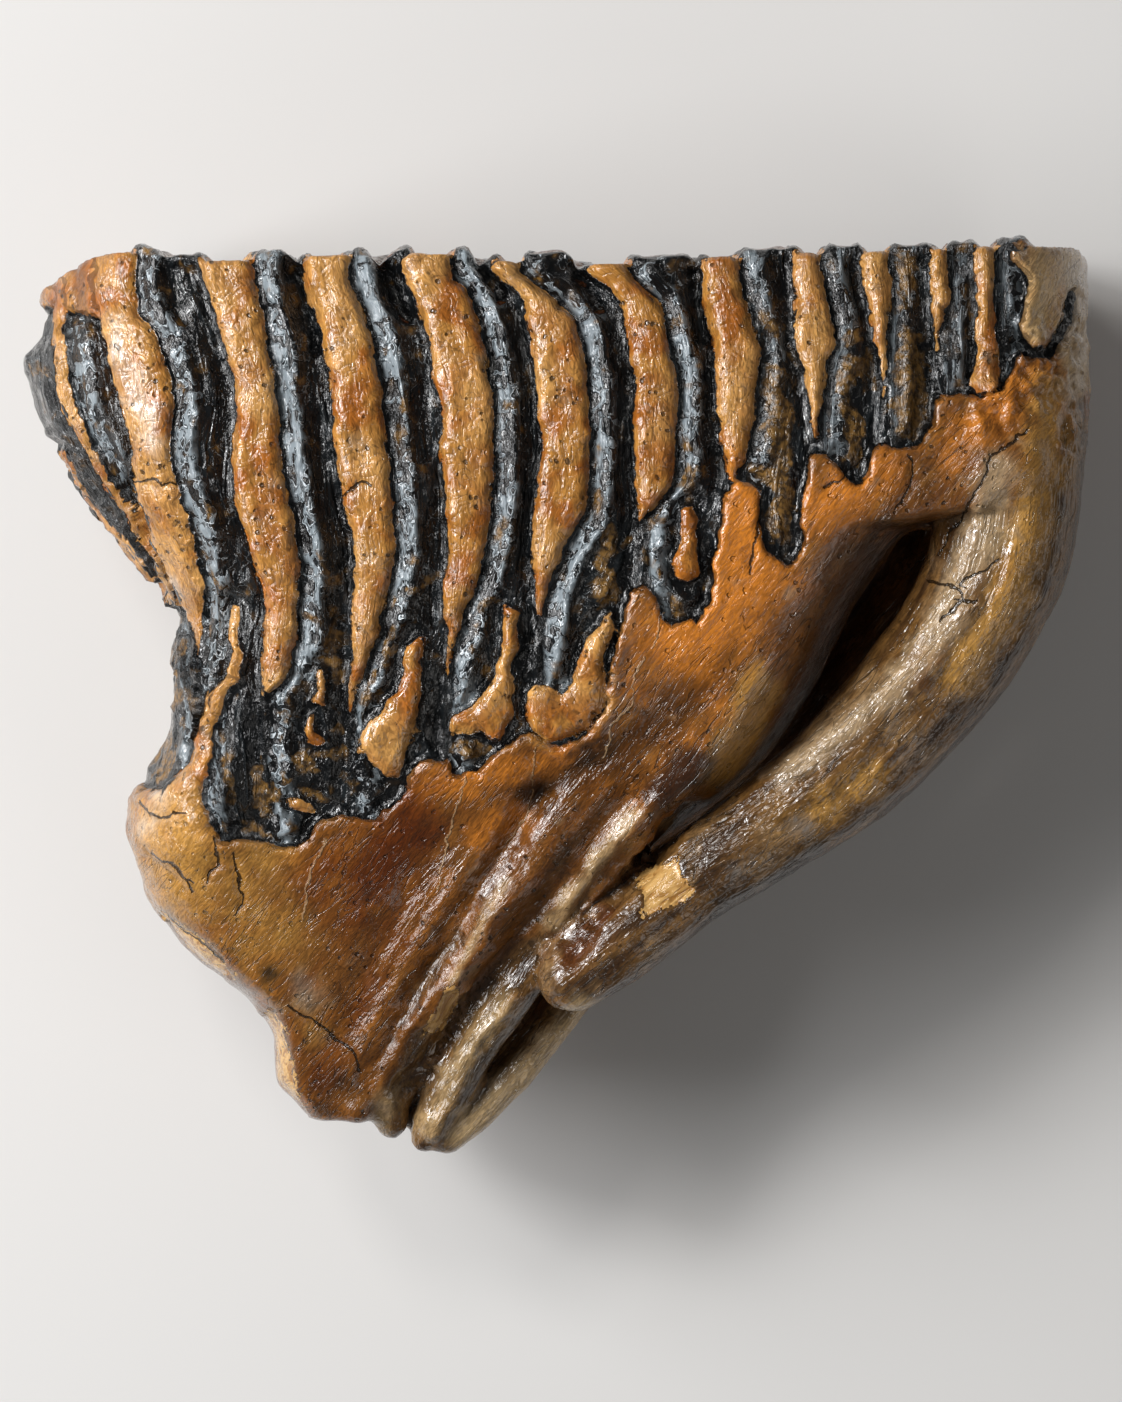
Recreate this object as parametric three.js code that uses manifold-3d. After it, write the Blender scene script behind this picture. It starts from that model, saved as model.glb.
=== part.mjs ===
// A fossil mammoth molar as one closed solid, lying on its broad side.
//
// Millimetres. +X runs along the chewing surface, +Y from the root tips up to the chewing
// surface, +Z out of the broad side that faces up. The other broad side has a small worn flat
// at z = 0 that the tooth rests on. The origin is the middle of the bounding box's bottom.
import * as THREE from "three";
import { mergeVertices } from "three/addons/utils/BufferGeometryUtils.js";
import Module from "manifold-3d";

// ---------------------------------------------------------------------------------------------
// Driving dimensions
// ---------------------------------------------------------------------------------------------
const MIDDLE = 40; // height of the tooth's middle plane above the surface it rests on
const CROWN_TOP = 84; // nominal height of the chewing surface over the frame's middle

// Outline of the crown and fused roots: [height, x] down the left and the right side.
const LEFT_SIDE = [
  [84, -97], [74.5, -97.5], [67, -100], [59.5, -99], [52, -97], [44.5, -93], [37, -88],
  [29.5, -82.5], [22, -76.5], [14.5, -72], [9, -72.5], [3.5, -74], [-4, -74.5], [-11.5, -76.5],
  [-19, -78.5], [-26.5, -79], [-34, -76.5], [-41.5, -73], [-47.5, -68.5], [-53, -61.5],
  [-56.5, -57], [-64, -53], [-71.5, -52.5], [-77.5, -48],
];
const RIGHT_SIDE = [
  [84, 99], [67, 98.5], [56, 98], [43, 97], [36, 90.5], [33.5, 75.5], [31.5, 65.5], [26, 61],
  [18.5, 56], [11, 52], [3.5, 48.5], [-8, 41], [-15.5, 34], [-23, 25], [-28.5, 17.5],
  [-34, 13], [-41.5, 6], [-49, -2.5], [-56.5, -10.5], [-64, -16.5], [-71.5, -22], [-77.5, -29.5],
];
// The worn chewing edge: [x, height]. It drops towards the two last plates on the left.
const CHEWING_EDGE = [
  [-100, 71], [-97, 74.5], [-90.5, 79.5], [-83, 83], [-75.5, 83.5], [-68, 81.5], [-48, 82.5],
  [-20, 83], [-10, 81.5], [0.5, 82.5], [8, 81], [25, 82], [45.5, 83], [72, 84], [94.5, 85],
  [99, 83.5],
];
// Half the thickness over the height, and how far the rounding of each end reaches inwards.
const HALF_THICKNESS = [
  [84, 35.5], [60, 38.5], [38, 40], [10, 38.5], [-10, 35], [-30, 28.5], [-50, 21], [-66, 15],
  [-77.5, 11],
];
const LEFT_ROUNDING = [[84, 30], [25, 30], [5, 22], [-30, 18], [-50, 8], [-64, 5], [-77.5, 5]];
const RIGHT_ROUNDING = [[84, 15], [40, 15], [30, 14], [-20, 12], [-60, 9], [-77.5, 9]];
const THINNER_AT_ENDS = 0.16; // share of the thickness lost at either end of the crown
// The side underneath bulges a little more, and the bulge is worn flat where the tooth rests.
const UNDER_BULGE = { x: 0, y: 33, halfLength: 46, halfHeight: 30, share: 0.065 };

// Cement bands between the enamel plates: [height, left edge, right edge], down to the tip.
const CEMENT_BANDS = [
  [[67.5, -94.5, -92.5], [56, -93, -90.5], [43.5, -86.5, -85], [34, -81, -79.5],
    [17.5, -73, -72]],
  [[76.5, -86.5, -79], [67, -85, -75], [55, -82, -72], [48, -80.5, -73], [37, -78.5, -70.5],
    [27, -74.5, -67.5], [18.5, -70.5, -66.5], [8, -67.5, -67]],
  [[82, -67, -57.5], [72.5, -64, -55.5], [55, -60, -52.5], [47.5, -61, -52], [39, -60.5, -50.5],
    [27, -57, -48.5], [18.5, -55, -48.5], [4.5, -56, -50.5], [0, -55, -54.5]],
  [[81, -48, -39], [65.5, -43.5, -34.5], [46.5, -41.5, -32], [37, -40, -31], [26, -38, -31],
    [11, -38, -34], [-2.5, -39, -38.5]],
  [[81, -29, -20], [74.5, -26, -16.5], [56, -22, -12], [46.5, -21.5, -12], [33.5, -20.5, -12.5],
    [18.5, -20.5, -16.5], [4, -21, -20.5]],
  [[81, -12.5, -7], [74.5, -6, 0.5], [65.5, -5, 5], [46.5, -2.5, 6], [37, -4, 5.5],
    [28, -4.5, 1.5], [15, -4, -3]],
  [[81, 5.5, 13.5], [74.5, 12, 18.5], [56, 14.5, 22.5], [41, 14.5, 22], [32.5, 15.5, 16]],
  [[81, 27, 33.5], [65.5, 29.5, 38], [48.5, 30.5, 36], [40.5, 32.5, 33.5]],
  [[81, 44.5, 49.5], [67, 45.5, 52.5], [61.5, 46.5, 50.5], [49, 48, 49]],
  [[82, 57, 62.5], [74.5, 58.5, 62.5], [56, 61, 61.5]],
  [[82.5, 70, 73], [74.5, 70.5, 73], [65.5, 71, 71.5]],
  [[82, 78, 82], [74.5, 78.5, 82], [62.5, 80.5, 83]],
];
// How far down each enamel plate reaches, from the last plate on the left to the first.
const PLATE_TIPS = [27, 15, -25.5, -27.5, -22, -13.5, -9, 14.5, 25.5, 40, 47, 57.5, 63];

// Relief of the broad sides, measured from the smooth form.
const BAND_RELIEF = 1;
const BARE_CEMENT_RELIEF = 0.5; // the cement below the plates
const CREST_RELIEF = 0.1;
const GROOVE_RELIEF = -1.1;
const RIM_INSET = 0.8; // from a band's edge to its rim, and to the groove beside it
// Relief of the chewing surface: worn enamel stands above the cement between the plates.
const WORN_ENAMEL = 0.9;
const WORN_DENTINE = 0.3;
const WORN_CEMENT = -0.7;

// Folds of the fused roots, which fan towards the root tips: ridges and furrows as a height,
// a half width and the line that each follows.
const FOLDS = [
  { height: 1.4, halfWidth: 5, line: [[-14, -30], [-26, -44], [-37, -62], [-42, -76]] },
  { height: -1.6, halfWidth: 2.4, line: [[-3, -19], [-16, -38], [-26, -55], [-35, -73]] },
  { height: -1.8, halfWidth: 2.6, line: [[12, -19], [0, -34], [-11, -51], [-20, -66]] },
  { height: -0.9, halfWidth: 4, line: [[-22, -28], [-33, -47], [-43, -64]] },
  { height: -1.3, halfWidth: 7, line: [[25, 1], [8, -14], [-14, -25], [-29, -32]] },
  { height: 1.6, halfWidth: 5.5, line: [[-73, -22], [-72, -36]] },
];

// Separate roots and root ridges: [x, y, height above the middle plane, radius].
const FRONT_ROOT = [
  [84, 56, 16, 12.6], [84, 41, 20.5, 13.7], [82.5, 28, 21, 13.3], [77, 14.5, 20, 12.4],
  [65.5, -1, 19, 12], [54, -13, 19, 11.1], [39, -24.5, 19, 9.4], [25, -34, 19.5, 8.4],
  [12, -44.5, 20, 7.9], [3, -52, 20, 6.4],
];
const BACK_ROOT = [
  [84, 50, -18, 12], [81, 37, -20, 12], [73.5, 22, -19, 10.9], [62.5, 7, -18, 10.1],
  [51, -7, -17, 9.4], [38, -19, -16, 8.3], [25, -30.5, -14, 6.8], [13, -42.5, -10, 5.4],
  [4, -54, -5, 4.3], [-5, -66, -1, 3.8], [-14.5, -77, 1, 3.6], [-20.5, -82.5, 2, 2.6],
];
const MIDDLE_ROOT = [
  [27, -8, 24, 4.1], [18.5, -18, 21, 4.5], [9, -31, 18.5, 4.6], [0, -42.5, 16, 4.6],
  [-8, -54, 13.5, 4.6], [-15.5, -65, 10.5, 4.4], [-22, -76.5, 7, 4], [-25, -82.5, 5, 2.4],
];
const UNDER_ROOT = [
  [22, -12, -24, 4.6], [10, -28, -20, 4.8], [-2, -43, -16, 4.8], [-13, -60, -10.5, 4.6],
  [-22, -75, -5, 3.8], [-25, -82, -1, 2.4],
];
const SIDE_ROOT = [
  [-10.5, -36, 20, 2.8], [-16.5, -44.5, 18, 3.4], [-22, -54, 15, 3.8], [-26.5, -63, 11.5, 4],
  [-30.5, -71.5, 8, 3.8], [-33, -76.5, 6, 2.4],
];
const ROOT_SIDES = 12;
const RIDGE_SIDES = 10;
// Where round each root its first facet lies, as a share of a facet.
const FACET_TURNS = [0.88, 0.12, 0.81, 0.78, 0.88];

// Heights of the body's cross-sections, from the root end to the crown.
const SECTION_HEIGHTS = [
  -77.5, -70.5, -62, -53, -44, -35.5, -27.5, -20, -12.5, -5, 2.5, 9.5, 16, 22, 27.5, 33, 38,
  44, 50, 56, 62, 68, 73.5, 78, 81.5,
];
const WEAR_BEGINS = 60; // above this height the sections follow the chewing edge

// ---------------------------------------------------------------------------------------------
// Curves
// ---------------------------------------------------------------------------------------------
const smooth = (t) => {
  const c = Math.min(1, Math.max(0, t));
  return c * c * (3 - 2 * c);
};

/** A smooth curve through [at, value] pairs that never swings past them; flat beyond its ends. */
function profile(pairs) {
  const points = [...pairs].sort((a, b) => a[0] - b[0]);
  const last = points.length - 1;
  const slopes = points.slice(1).map(([at, value], i) => {
    return (value - points[i][1]) / (at - points[i][0]);
  });
  const tangents = points.map((_, i) => {
    if (i === 0 || i === last) return 0;
    const before = slopes[i - 1];
    const after = slopes[i];
    return before * after <= 0 ? 0 : (2 * before * after) / (before + after);
  });
  return (at) => {
    if (at <= points[0][0]) return points[0][1];
    if (at >= points[last][0]) return points[last][1];
    let i = 0;
    while (at > points[i + 1][0]) i += 1;
    const width = points[i + 1][0] - points[i][0];
    const t = (at - points[i][0]) / width;
    const rise = points[i + 1][1] - points[i][1];
    const bend = t * (1 - t) * width;
    return (
      points[i][1] + rise * smooth(t) + bend * ((1 - t) * tangents[i] - t * tangents[i + 1])
    );
  };
}

/** Distance in the XY plane from a point to a line through the given points. */
function distanceToLine(line, x, y) {
  let nearest = Infinity;
  for (let i = 1; i < line.length; i += 1) {
    const [ax, ay] = line[i - 1];
    const dx = line[i][0] - ax;
    const dy = line[i][1] - ay;
    const along = ((x - ax) * dx + (y - ay) * dy) / (dx * dx + dy * dy);
    const t = Math.min(1, Math.max(0, along));
    nearest = Math.min(nearest, Math.hypot(x - ax - t * dx, y - ay - t * dy));
  }
  return nearest;
}

const leftSide = profile(LEFT_SIDE);
const rightSide = profile(RIGHT_SIDE);
const chewingEdge = profile(CHEWING_EDGE);
const halfThicknessAt = profile(HALF_THICKNESS);
const leftRounding = profile(LEFT_ROUNDING);
const rightRounding = profile(RIGHT_ROUNDING);

// ---------------------------------------------------------------------------------------------
// The smooth form of the crown and fused roots
// ---------------------------------------------------------------------------------------------
const quarterRound = (t) => {
  const c = Math.min(1, Math.max(0, t));
  return Math.sqrt(1 - (1 - c) * (1 - c));
};

/** Half the thickness at (x, y); `side` is 1 for the broad side that faces up, -1 below. */
function halfThickness(x, y, side) {
  const b = UNDER_BULGE;
  const outwards = Math.abs(x) / 100;
  const bulge = ((x - b.x) / b.halfLength) ** 2 + ((y - b.y) / b.halfHeight) ** 2;
  const under = side < 0 ? 1 + b.share * Math.exp(-bulge) : 1;
  return (
    halfThicknessAt(y) *
    (1 - THINNER_AT_ENDS * outwards ** 2) *
    under *
    quarterRound((x - leftSide(y)) / leftRounding(y)) *
    quarterRound((rightSide(y) - x) / rightRounding(y))
  );
}

/** Relief of the folds in the fused roots at (x, y). */
const foldRelief = (x, y) =>
  FOLDS.reduce((sum, fold) => {
    const away = distanceToLine(fold.line, x, y) / fold.halfWidth;
    return sum + fold.height * Math.exp(-away * away);
  }, 0);

// ---------------------------------------------------------------------------------------------
// Lanes: lines down the crown along the plates and bands, which fan into the fused roots
// ---------------------------------------------------------------------------------------------
const TIP_FADE = 5; // length over which a plate or band dies out at its tip
const LEAST_GAP = 0.5; // between two lanes
const FAN_FOOT = SECTION_HEIGHTS[0];

/** Relief that `inside` gives above the tip and `outside` below it. */
const fadeAt = (tip, y, inside, outside) =>
  outside + (inside - outside) * smooth((y - tip) / TIP_FADE);

function makeLanes() {
  const lanes = [];
  const addLane = (x, tip, relief, worn) => lanes.push({ x, tip, relief, worn });
  const edge = (x, tip) =>
    addLane(x, FAN_FOOT, (y) => fadeAt(tip, y, CREST_RELIEF, BARE_CEMENT_RELIEF), WORN_CEMENT);
  edge(leftSide, PLATE_TIPS[0]);
  edge((y) => leftSide(y) + 2, PLATE_TIPS[0]);
  const bands = CEMENT_BANDS.map((stations) => ({
    left: profile(stations.map(([y, left]) => [y, left])),
    right: profile(stations.map(([y, , right]) => [y, right])),
    tip: stations.at(-1)[0],
  }));
  const plateRelief = (plate, depth) => (y) =>
    fadeAt(PLATE_TIPS[plate], y, depth, BARE_CEMENT_RELIEF);
  bands.forEach((band, i) => {
    const rim = (y) => fadeAt(band.tip, y, BAND_RELIEF, BARE_CEMENT_RELIEF);
    const left = plateRelief(i, GROOVE_RELIEF);
    const right = plateRelief(i + 1, GROOVE_RELIEF);
    const leftTip = Math.min(band.tip, PLATE_TIPS[i]);
    const rightTip = Math.min(band.tip, PLATE_TIPS[i + 1]);
    const bandTip = Math.max(leftTip, rightTip);
    addLane((y) => band.left(y) - RIM_INSET, leftTip, left, WORN_ENAMEL);
    addLane((y) => band.left(y) + RIM_INSET, bandTip, rim, WORN_CEMENT);
    addLane((y) => band.right(y) - RIM_INSET, bandTip, rim, WORN_CEMENT);
    addLane((y) => band.right(y) + RIM_INSET, rightTip, right, WORN_ENAMEL);
    const next = bands[i + 1];
    if (!next) return;
    const crest = (y) => (band.right(y) + next.left(y)) / 2;
    addLane(crest, rightTip, plateRelief(i + 1, CREST_RELIEF), WORN_DENTINE);
  });
  const firstPlate = plateRelief(PLATE_TIPS.length - 1, CREST_RELIEF);
  addLane((y) => rightSide(y) - 9, PLATE_TIPS.at(-1), firstPlate, WORN_DENTINE);
  edge((y) => rightSide(y) - 4.5, PLATE_TIPS.at(-1));
  edge((y) => rightSide(y) - 1.2, PLATE_TIPS.at(-1));
  edge(rightSide, PLATE_TIPS.at(-1));
  return lanes;
}

const lanes = makeLanes();

/** The values with those between the first and last moved so that none is out of order. */
function inOrder(values, leastGap) {
  const count = values.length - 1;
  const gap = Math.min(leastGap, (values[count] - values[0]) / count);
  const moved = [...values];
  for (let i = 1; i < count; i += 1) moved[i] = Math.max(moved[i], moved[i - 1] + gap);
  for (let i = count - 1; i > 0; i -= 1) moved[i] = Math.min(moved[i], moved[i + 1] - gap);
  return moved;
}

/** The x of every lane at height y. */
function laneXs(y) {
  const count = lanes.length - 1;
  const footLeft = leftSide(FAN_FOOT);
  const footRight = rightSide(FAN_FOOT);
  const xs = lanes.map((lane, i) => {
    if (y >= lane.tip) return lane.x(y);
    const foot = footLeft + ((footRight - footLeft) * i) / count;
    const t = (lane.tip - y) / (lane.tip - FAN_FOOT);
    return lane.x(lane.tip) + (foot - lane.x(lane.tip)) * t;
  });
  xs[0] = leftSide(y);
  xs[count] = rightSide(y);
  return inOrder(xs, LEAST_GAP);
}

// ---------------------------------------------------------------------------------------------
// Closed surfaces
// ---------------------------------------------------------------------------------------------
/** A closed geometry from rings of equal length; the first and last ring are folded shut. */
function skin(rings) {
  const size = rings[0].length;
  const positions = rings.flat().flatMap((p) => [p.x, p.y, p.z]);
  const index = [];
  for (let r = 1; r < rings.length; r += 1) {
    for (let i = 0; i < size; i += 1) {
      const next = (i + 1) % size;
      const a = (r - 1) * size + i;
      const b = (r - 1) * size + next;
      const c = r * size + next;
      const d = r * size + i;
      index.push(a, b, c, a, c, d);
    }
  }
  const geometry = new THREE.BufferGeometry();
  geometry.setAttribute("position", new THREE.Float32BufferAttribute(positions, 3));
  geometry.setIndex(index);
  const merged = mergeVertices(geometry, 1e-4);
  const corners = merged.index.array;
  const kept = [];
  for (let i = 0; i < corners.length; i += 3) {
    const [a, b, c] = corners.subarray(i, i + 3);
    if (a !== b && b !== c && c !== a) kept.push(a, b, c);
  }
  merged.setIndex(kept);
  return merged;
}

/** One cross-section at nominal height y: the upper side from left to right, then back below. */
function section(y, { inset = 0, fullness = 1, lift = 0, worn = 0 } = {}) {
  const xs = laneXs(y);
  const place = (i, side) => {
    const form = fullness === 0 ? 1 : side; // a ring folded shut has one shape from both sides
    const x = xs[i];
    const end = i === 0 || i === lanes.length - 1;
    const half = end ? 0 : halfThickness(x, y, form);
    const step = 0.1;
    const slope =
      (halfThickness(x + step, y, form) - halfThickness(x - step, y, form)) / (2 * step);
    const normal = new THREE.Vector2(-slope, 1).normalize();
    if (end) normal.set(i === 0 ? -1 : 1, 0);
    const relief = lanes[i].relief(y) + foldRelief(x, y);
    const wear = Math.max(0, (y - WEAR_BEGINS) / (CROWN_TOP - WEAR_BEGINS));
    const height = y + wear * (chewingEdge(x) - CROWN_TOP);
    return new THREE.Vector3(
      x + normal.x * (relief - inset),
      height + lift + worn * lanes[i].worn,
      MIDDLE + side * (half + normal.y * relief) * fullness,
    );
  };
  const halfRing = (side) => {
    const points = xs.map((_, i) => place(i, side));
    const ordered = inOrder(points.map((point) => point.x), LEAST_GAP / 2);
    return points.map((point, i) => point.setX(ordered[i]));
  };
  return [...halfRing(1), ...halfRing(-1).slice(1, -1).reverse()];
}

/** The crown and the fused roots below it. */
function makeBody() {
  const foot = SECTION_HEIGHTS[0];
  const rings = [
    section(foot, { fullness: 0, lift: -1.6 }),
    section(foot, { fullness: 0.55, lift: -1.4 }),
    ...SECTION_HEIGHTS.map((y) => section(y)),
    section(CROWN_TOP, { inset: 0.9, fullness: 0.975, worn: 0.6 }),
    section(CROWN_TOP, { inset: 2.5, fullness: 0.92, worn: 1 }),
    section(CROWN_TOP, { inset: 2.5, fullness: 0.5, worn: 1, lift: -0.4 }),
    section(CROWN_TOP, { inset: 2.5, fullness: 0, worn: 1, lift: -0.6 }),
  ];
  return skin(rings);
}

/** A root of round section along the given points, with both ends rounded over. */
function makeRoot(points, sides, facetTurn) {
  const centres = points.map(([x, y, z]) => new THREE.Vector3(x, y, MIDDLE + z));
  const curve = new THREE.CatmullRomCurve3(centres);
  const radius = profile(points.map(([, , , r], i) => [i / (points.length - 1), r]));
  const steps = 2 * (points.length - 1);
  const { normals, binormals } = curve.computeFrenetFrames(steps, false);
  const ring = (i, share, shift) => {
    const t = i / steps;
    const centre = curve.getPoint(t).addScaledVector(curve.getTangent(t), shift * radius(t));
    return Array.from({ length: sides }, (_, k) => {
      const turn = (2 * Math.PI * (k + facetTurn)) / sides;
      return centre
        .clone()
        .addScaledVector(normals[i], Math.cos(turn) * radius(t) * share)
        .addScaledVector(binormals[i], Math.sin(turn) * radius(t) * share);
    });
  };
  const rings = [ring(0, 0, -0.8), ring(0, 0.7, -0.6)];
  for (let i = 0; i <= steps; i += 1) rings.push(ring(i, 1, 0));
  rings.push(ring(steps, 0.7, 0.6), ring(steps, 0, 0.8));
  return skin(rings);
}

// ---------------------------------------------------------------------------------------------
// Joining
// ---------------------------------------------------------------------------------------------
const wasm = await Module();
wasm.setup();

/** A closed geometry as a solid, turned to face outwards. */
function toSolid(geometry) {
  const bare = geometry.clone();
  bare.deleteAttribute("normal");
  bare.deleteAttribute("uv");
  const merged = mergeVertices(bare, 1e-4);
  const triVerts = new Uint32Array(merged.index.array);
  const build = () =>
    new wasm.Manifold(
      new wasm.Mesh({ numProp: 3, vertProperties: merged.attributes.position.array, triVerts }),
    );
  const solid = build();
  if (solid.volume() > 0) return solid;
  for (let i = 0; i < triVerts.length; i += 3) {
    [triVerts[i + 1], triVerts[i + 2]] = [triVerts[i + 2], triVerts[i + 1]];
  }
  return build();
}

function toGeometry(solid) {
  const { numProp, vertProperties, triVerts } = solid.getMesh();
  const positions = [];
  for (let i = 0; i < vertProperties.length; i += numProp) {
    positions.push(...vertProperties.subarray(i, i + 3));
  }
  const geometry = new THREE.BufferGeometry();
  geometry.setAttribute("position", new THREE.Float32BufferAttribute(positions, 3));
  geometry.setIndex(new THREE.BufferAttribute(triVerts, 1));
  return geometry;
}

/** Everything below the surface that the tooth rests on. */
function makeGround() {
  const ground = new THREE.BoxGeometry(400, 400, 20);
  ground.translate(0, 0, -10);
  return ground;
}

function makeMolar() {
  const roots = [
    makeRoot(FRONT_ROOT, ROOT_SIDES, FACET_TURNS[0]),
    makeRoot(BACK_ROOT, ROOT_SIDES, FACET_TURNS[1]),
    makeRoot(MIDDLE_ROOT, RIDGE_SIDES, FACET_TURNS[2]),
    makeRoot(UNDER_ROOT, RIDGE_SIDES, FACET_TURNS[3]),
    makeRoot(SIDE_ROOT, RIDGE_SIDES, FACET_TURNS[4]),
  ];
  const whole = roots.reduce((solid, root) => solid.add(toSolid(root)), toSolid(makeBody()));
  const geometry = toGeometry(whole.subtract(toSolid(makeGround())));
  geometry.computeBoundingBox();
  const centre = geometry.boundingBox.getCenter(new THREE.Vector3());
  geometry.translate(-centre.x, -centre.y, -geometry.boundingBox.min.z);
  geometry.computeVertexNormals();
  const stone = new THREE.MeshStandardMaterial({
    color: 0x9a6226,
    roughness: 0.35,
    metalness: 0,
    flatShading: true,
  });
  const molar = new THREE.Mesh(geometry, stone);
  molar.name = "molar";
  return molar;
}

const group = new THREE.Group();
group.add(makeMolar());

export default group;
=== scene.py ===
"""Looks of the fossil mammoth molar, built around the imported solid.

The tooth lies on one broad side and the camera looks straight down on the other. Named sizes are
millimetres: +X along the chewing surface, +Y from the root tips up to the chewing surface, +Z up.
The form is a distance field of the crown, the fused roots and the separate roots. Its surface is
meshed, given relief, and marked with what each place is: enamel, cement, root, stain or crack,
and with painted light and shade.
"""

import math
from types import SimpleNamespace

import bpy
import numpy as np
import openvdb
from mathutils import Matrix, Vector, noise


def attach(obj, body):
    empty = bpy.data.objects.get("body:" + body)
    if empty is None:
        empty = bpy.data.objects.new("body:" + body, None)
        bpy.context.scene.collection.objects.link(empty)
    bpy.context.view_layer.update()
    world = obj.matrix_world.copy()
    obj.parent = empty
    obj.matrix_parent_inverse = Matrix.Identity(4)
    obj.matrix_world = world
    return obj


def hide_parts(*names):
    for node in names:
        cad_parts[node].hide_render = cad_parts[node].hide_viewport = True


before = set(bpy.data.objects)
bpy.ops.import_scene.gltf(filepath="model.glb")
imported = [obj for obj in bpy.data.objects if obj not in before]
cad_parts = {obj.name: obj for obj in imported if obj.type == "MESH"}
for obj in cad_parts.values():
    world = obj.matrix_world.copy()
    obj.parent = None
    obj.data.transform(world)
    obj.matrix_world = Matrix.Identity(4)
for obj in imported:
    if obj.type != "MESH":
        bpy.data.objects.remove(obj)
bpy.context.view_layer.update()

# === Driving dimensions, as in the solid ===
MM = 0.001
SOLID_CENTRE = (-0.4535, 0.3055)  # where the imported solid's own origin lies in these millimetres
MIDDLE = 40
CROWN_TOP = 84
WEAR_BEGINS = 60
FOOT = -77.5

# Outline of the broad side: (height, x), and (x, height) for the chewing edge.
LEFT_SIDE = [
    (84, -97), (74.5, -97.5), (67, -100), (59.5, -99), (52, -97), (44.5, -93), (37, -88),
    (29.5, -82.5), (22, -76.5), (14.5, -72), (9, -72.5), (3.5, -74), (-4, -74.5), (-11.5, -76.5),
    (-19, -78.5), (-26.5, -79), (-34, -76.5), (-41.5, -73), (-47.5, -68.5), (-53, -61.5),
    (-56.5, -57), (-64, -53), (-71.5, -52.5), (-77.5, -48),
]
RIGHT_SIDE = [
    (84, 99), (67, 98.5), (56, 98), (43, 97), (36, 90.5), (33.5, 75.5), (31.5, 65.5), (26, 61),
    (18.5, 56), (11, 52), (3.5, 48.5), (-8, 41), (-15.5, 34), (-23, 25), (-28.5, 17.5),
    (-34, 13), (-41.5, 6), (-49, -2.5), (-56.5, -10.5), (-64, -16.5), (-71.5, -22), (-77.5, -29.5),
]
CHEWING_EDGE = [
    (-100, 71), (-97, 74.5), (-90.5, 79.5), (-83, 83), (-75.5, 83.5), (-68, 81.5), (-48, 82.5),
    (-20, 83), (-10, 81.5), (0.5, 82.5), (8, 81), (25, 82), (45.5, 83), (72, 84), (94.5, 85),
    (99, 83.5),
]
# At each height: half the thickness, and how far in each end starts to round off.
HALF_THICKNESS = [
    (84, 35.5), (60, 38.5), (38, 40), (10, 38.5), (-10, 35), (-30, 28.5), (-50, 21), (-66, 15),
    (-77.5, 11),
]
LEFT_ROUNDING = [(84, 30), (25, 30), (5, 22), (-30, 18), (-50, 8), (-64, 5), (-77.5, 5)]
RIGHT_ROUNDING = [(84, 15), (40, 15), (30, 14), (-20, 12), (-60, 9), (-77.5, 9)]
THINNER_AT_ENDS = 0.16  # share of the thickness lost 100 mm from the middle
# The side underneath is a little fuller here.
UNDER_BULGE = {"x": 0, "y": 33, "half_length": 46, "half_height": 30, "share": 0.065}

# Cement bands between the enamel plates: (height, left edge, right edge), down to the tip.
CEMENT_BANDS = [
    [(67.5, -94.5, -92.5), (56, -93, -90.5), (43.5, -86.5, -85), (34, -81, -79.5),
     (17.5, -73, -72)],
    [(76.5, -86.5, -79), (67, -85, -75), (55, -82, -72), (48, -80.5, -73), (37, -78.5, -70.5),
     (27, -74.5, -67.5), (18.5, -70.5, -66.5), (8, -67.5, -67)],
    [(82, -67, -57.5), (72.5, -64, -55.5), (55, -60, -52.5), (47.5, -61, -52), (39, -60.5, -50.5),
     (27, -57, -48.5), (18.5, -55, -48.5), (4.5, -56, -50.5), (0, -55, -54.5)],
    [(81, -48, -39), (65.5, -43.5, -34.5), (46.5, -41.5, -32), (37, -40, -31), (26, -38, -31),
     (11, -38, -34), (-2.5, -39, -38.5)],
    [(81, -29, -20), (74.5, -26, -16.5), (56, -22, -12), (46.5, -21.5, -12), (33.5, -20.5, -12.5),
     (18.5, -20.5, -16.5), (4, -21, -20.5)],
    [(81, -12.5, -7), (74.5, -6, 0.5), (65.5, -5, 5), (46.5, -2.5, 6), (37, -4, 5.5),
     (28, -4.5, 1.5), (15, -4, -3)],
    [(81, 5.5, 13.5), (74.5, 12, 18.5), (56, 14.5, 22.5), (41, 14.5, 22), (32.5, 15.5, 16)],
    [(81, 27, 33.5), (65.5, 29.5, 38), (48.5, 30.5, 36), (40.5, 32.5, 33.5)],
    [(81, 44.5, 49.5), (67, 45.5, 52.5), (61.5, 46.5, 50.5), (49, 48, 49)],
    [(82, 57, 62.5), (74.5, 58.5, 62.5), (56, 61, 61.5)],
    [(82.5, 70, 73), (74.5, 70.5, 73), (65.5, 71, 71.5)],
    [(82, 78, 82), (74.5, 78.5, 82), (62.5, 78.5, 83), (59, 77, 83.5), (57.5, 79, 82)],
]
# Height of the lower tip of each enamel plate.
PLATE_TIPS = [27, 15, -25.5, -27.5, -22, -13.5, -9, 14.5, 25.5, 40, 47, 57.5, 63]

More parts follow.
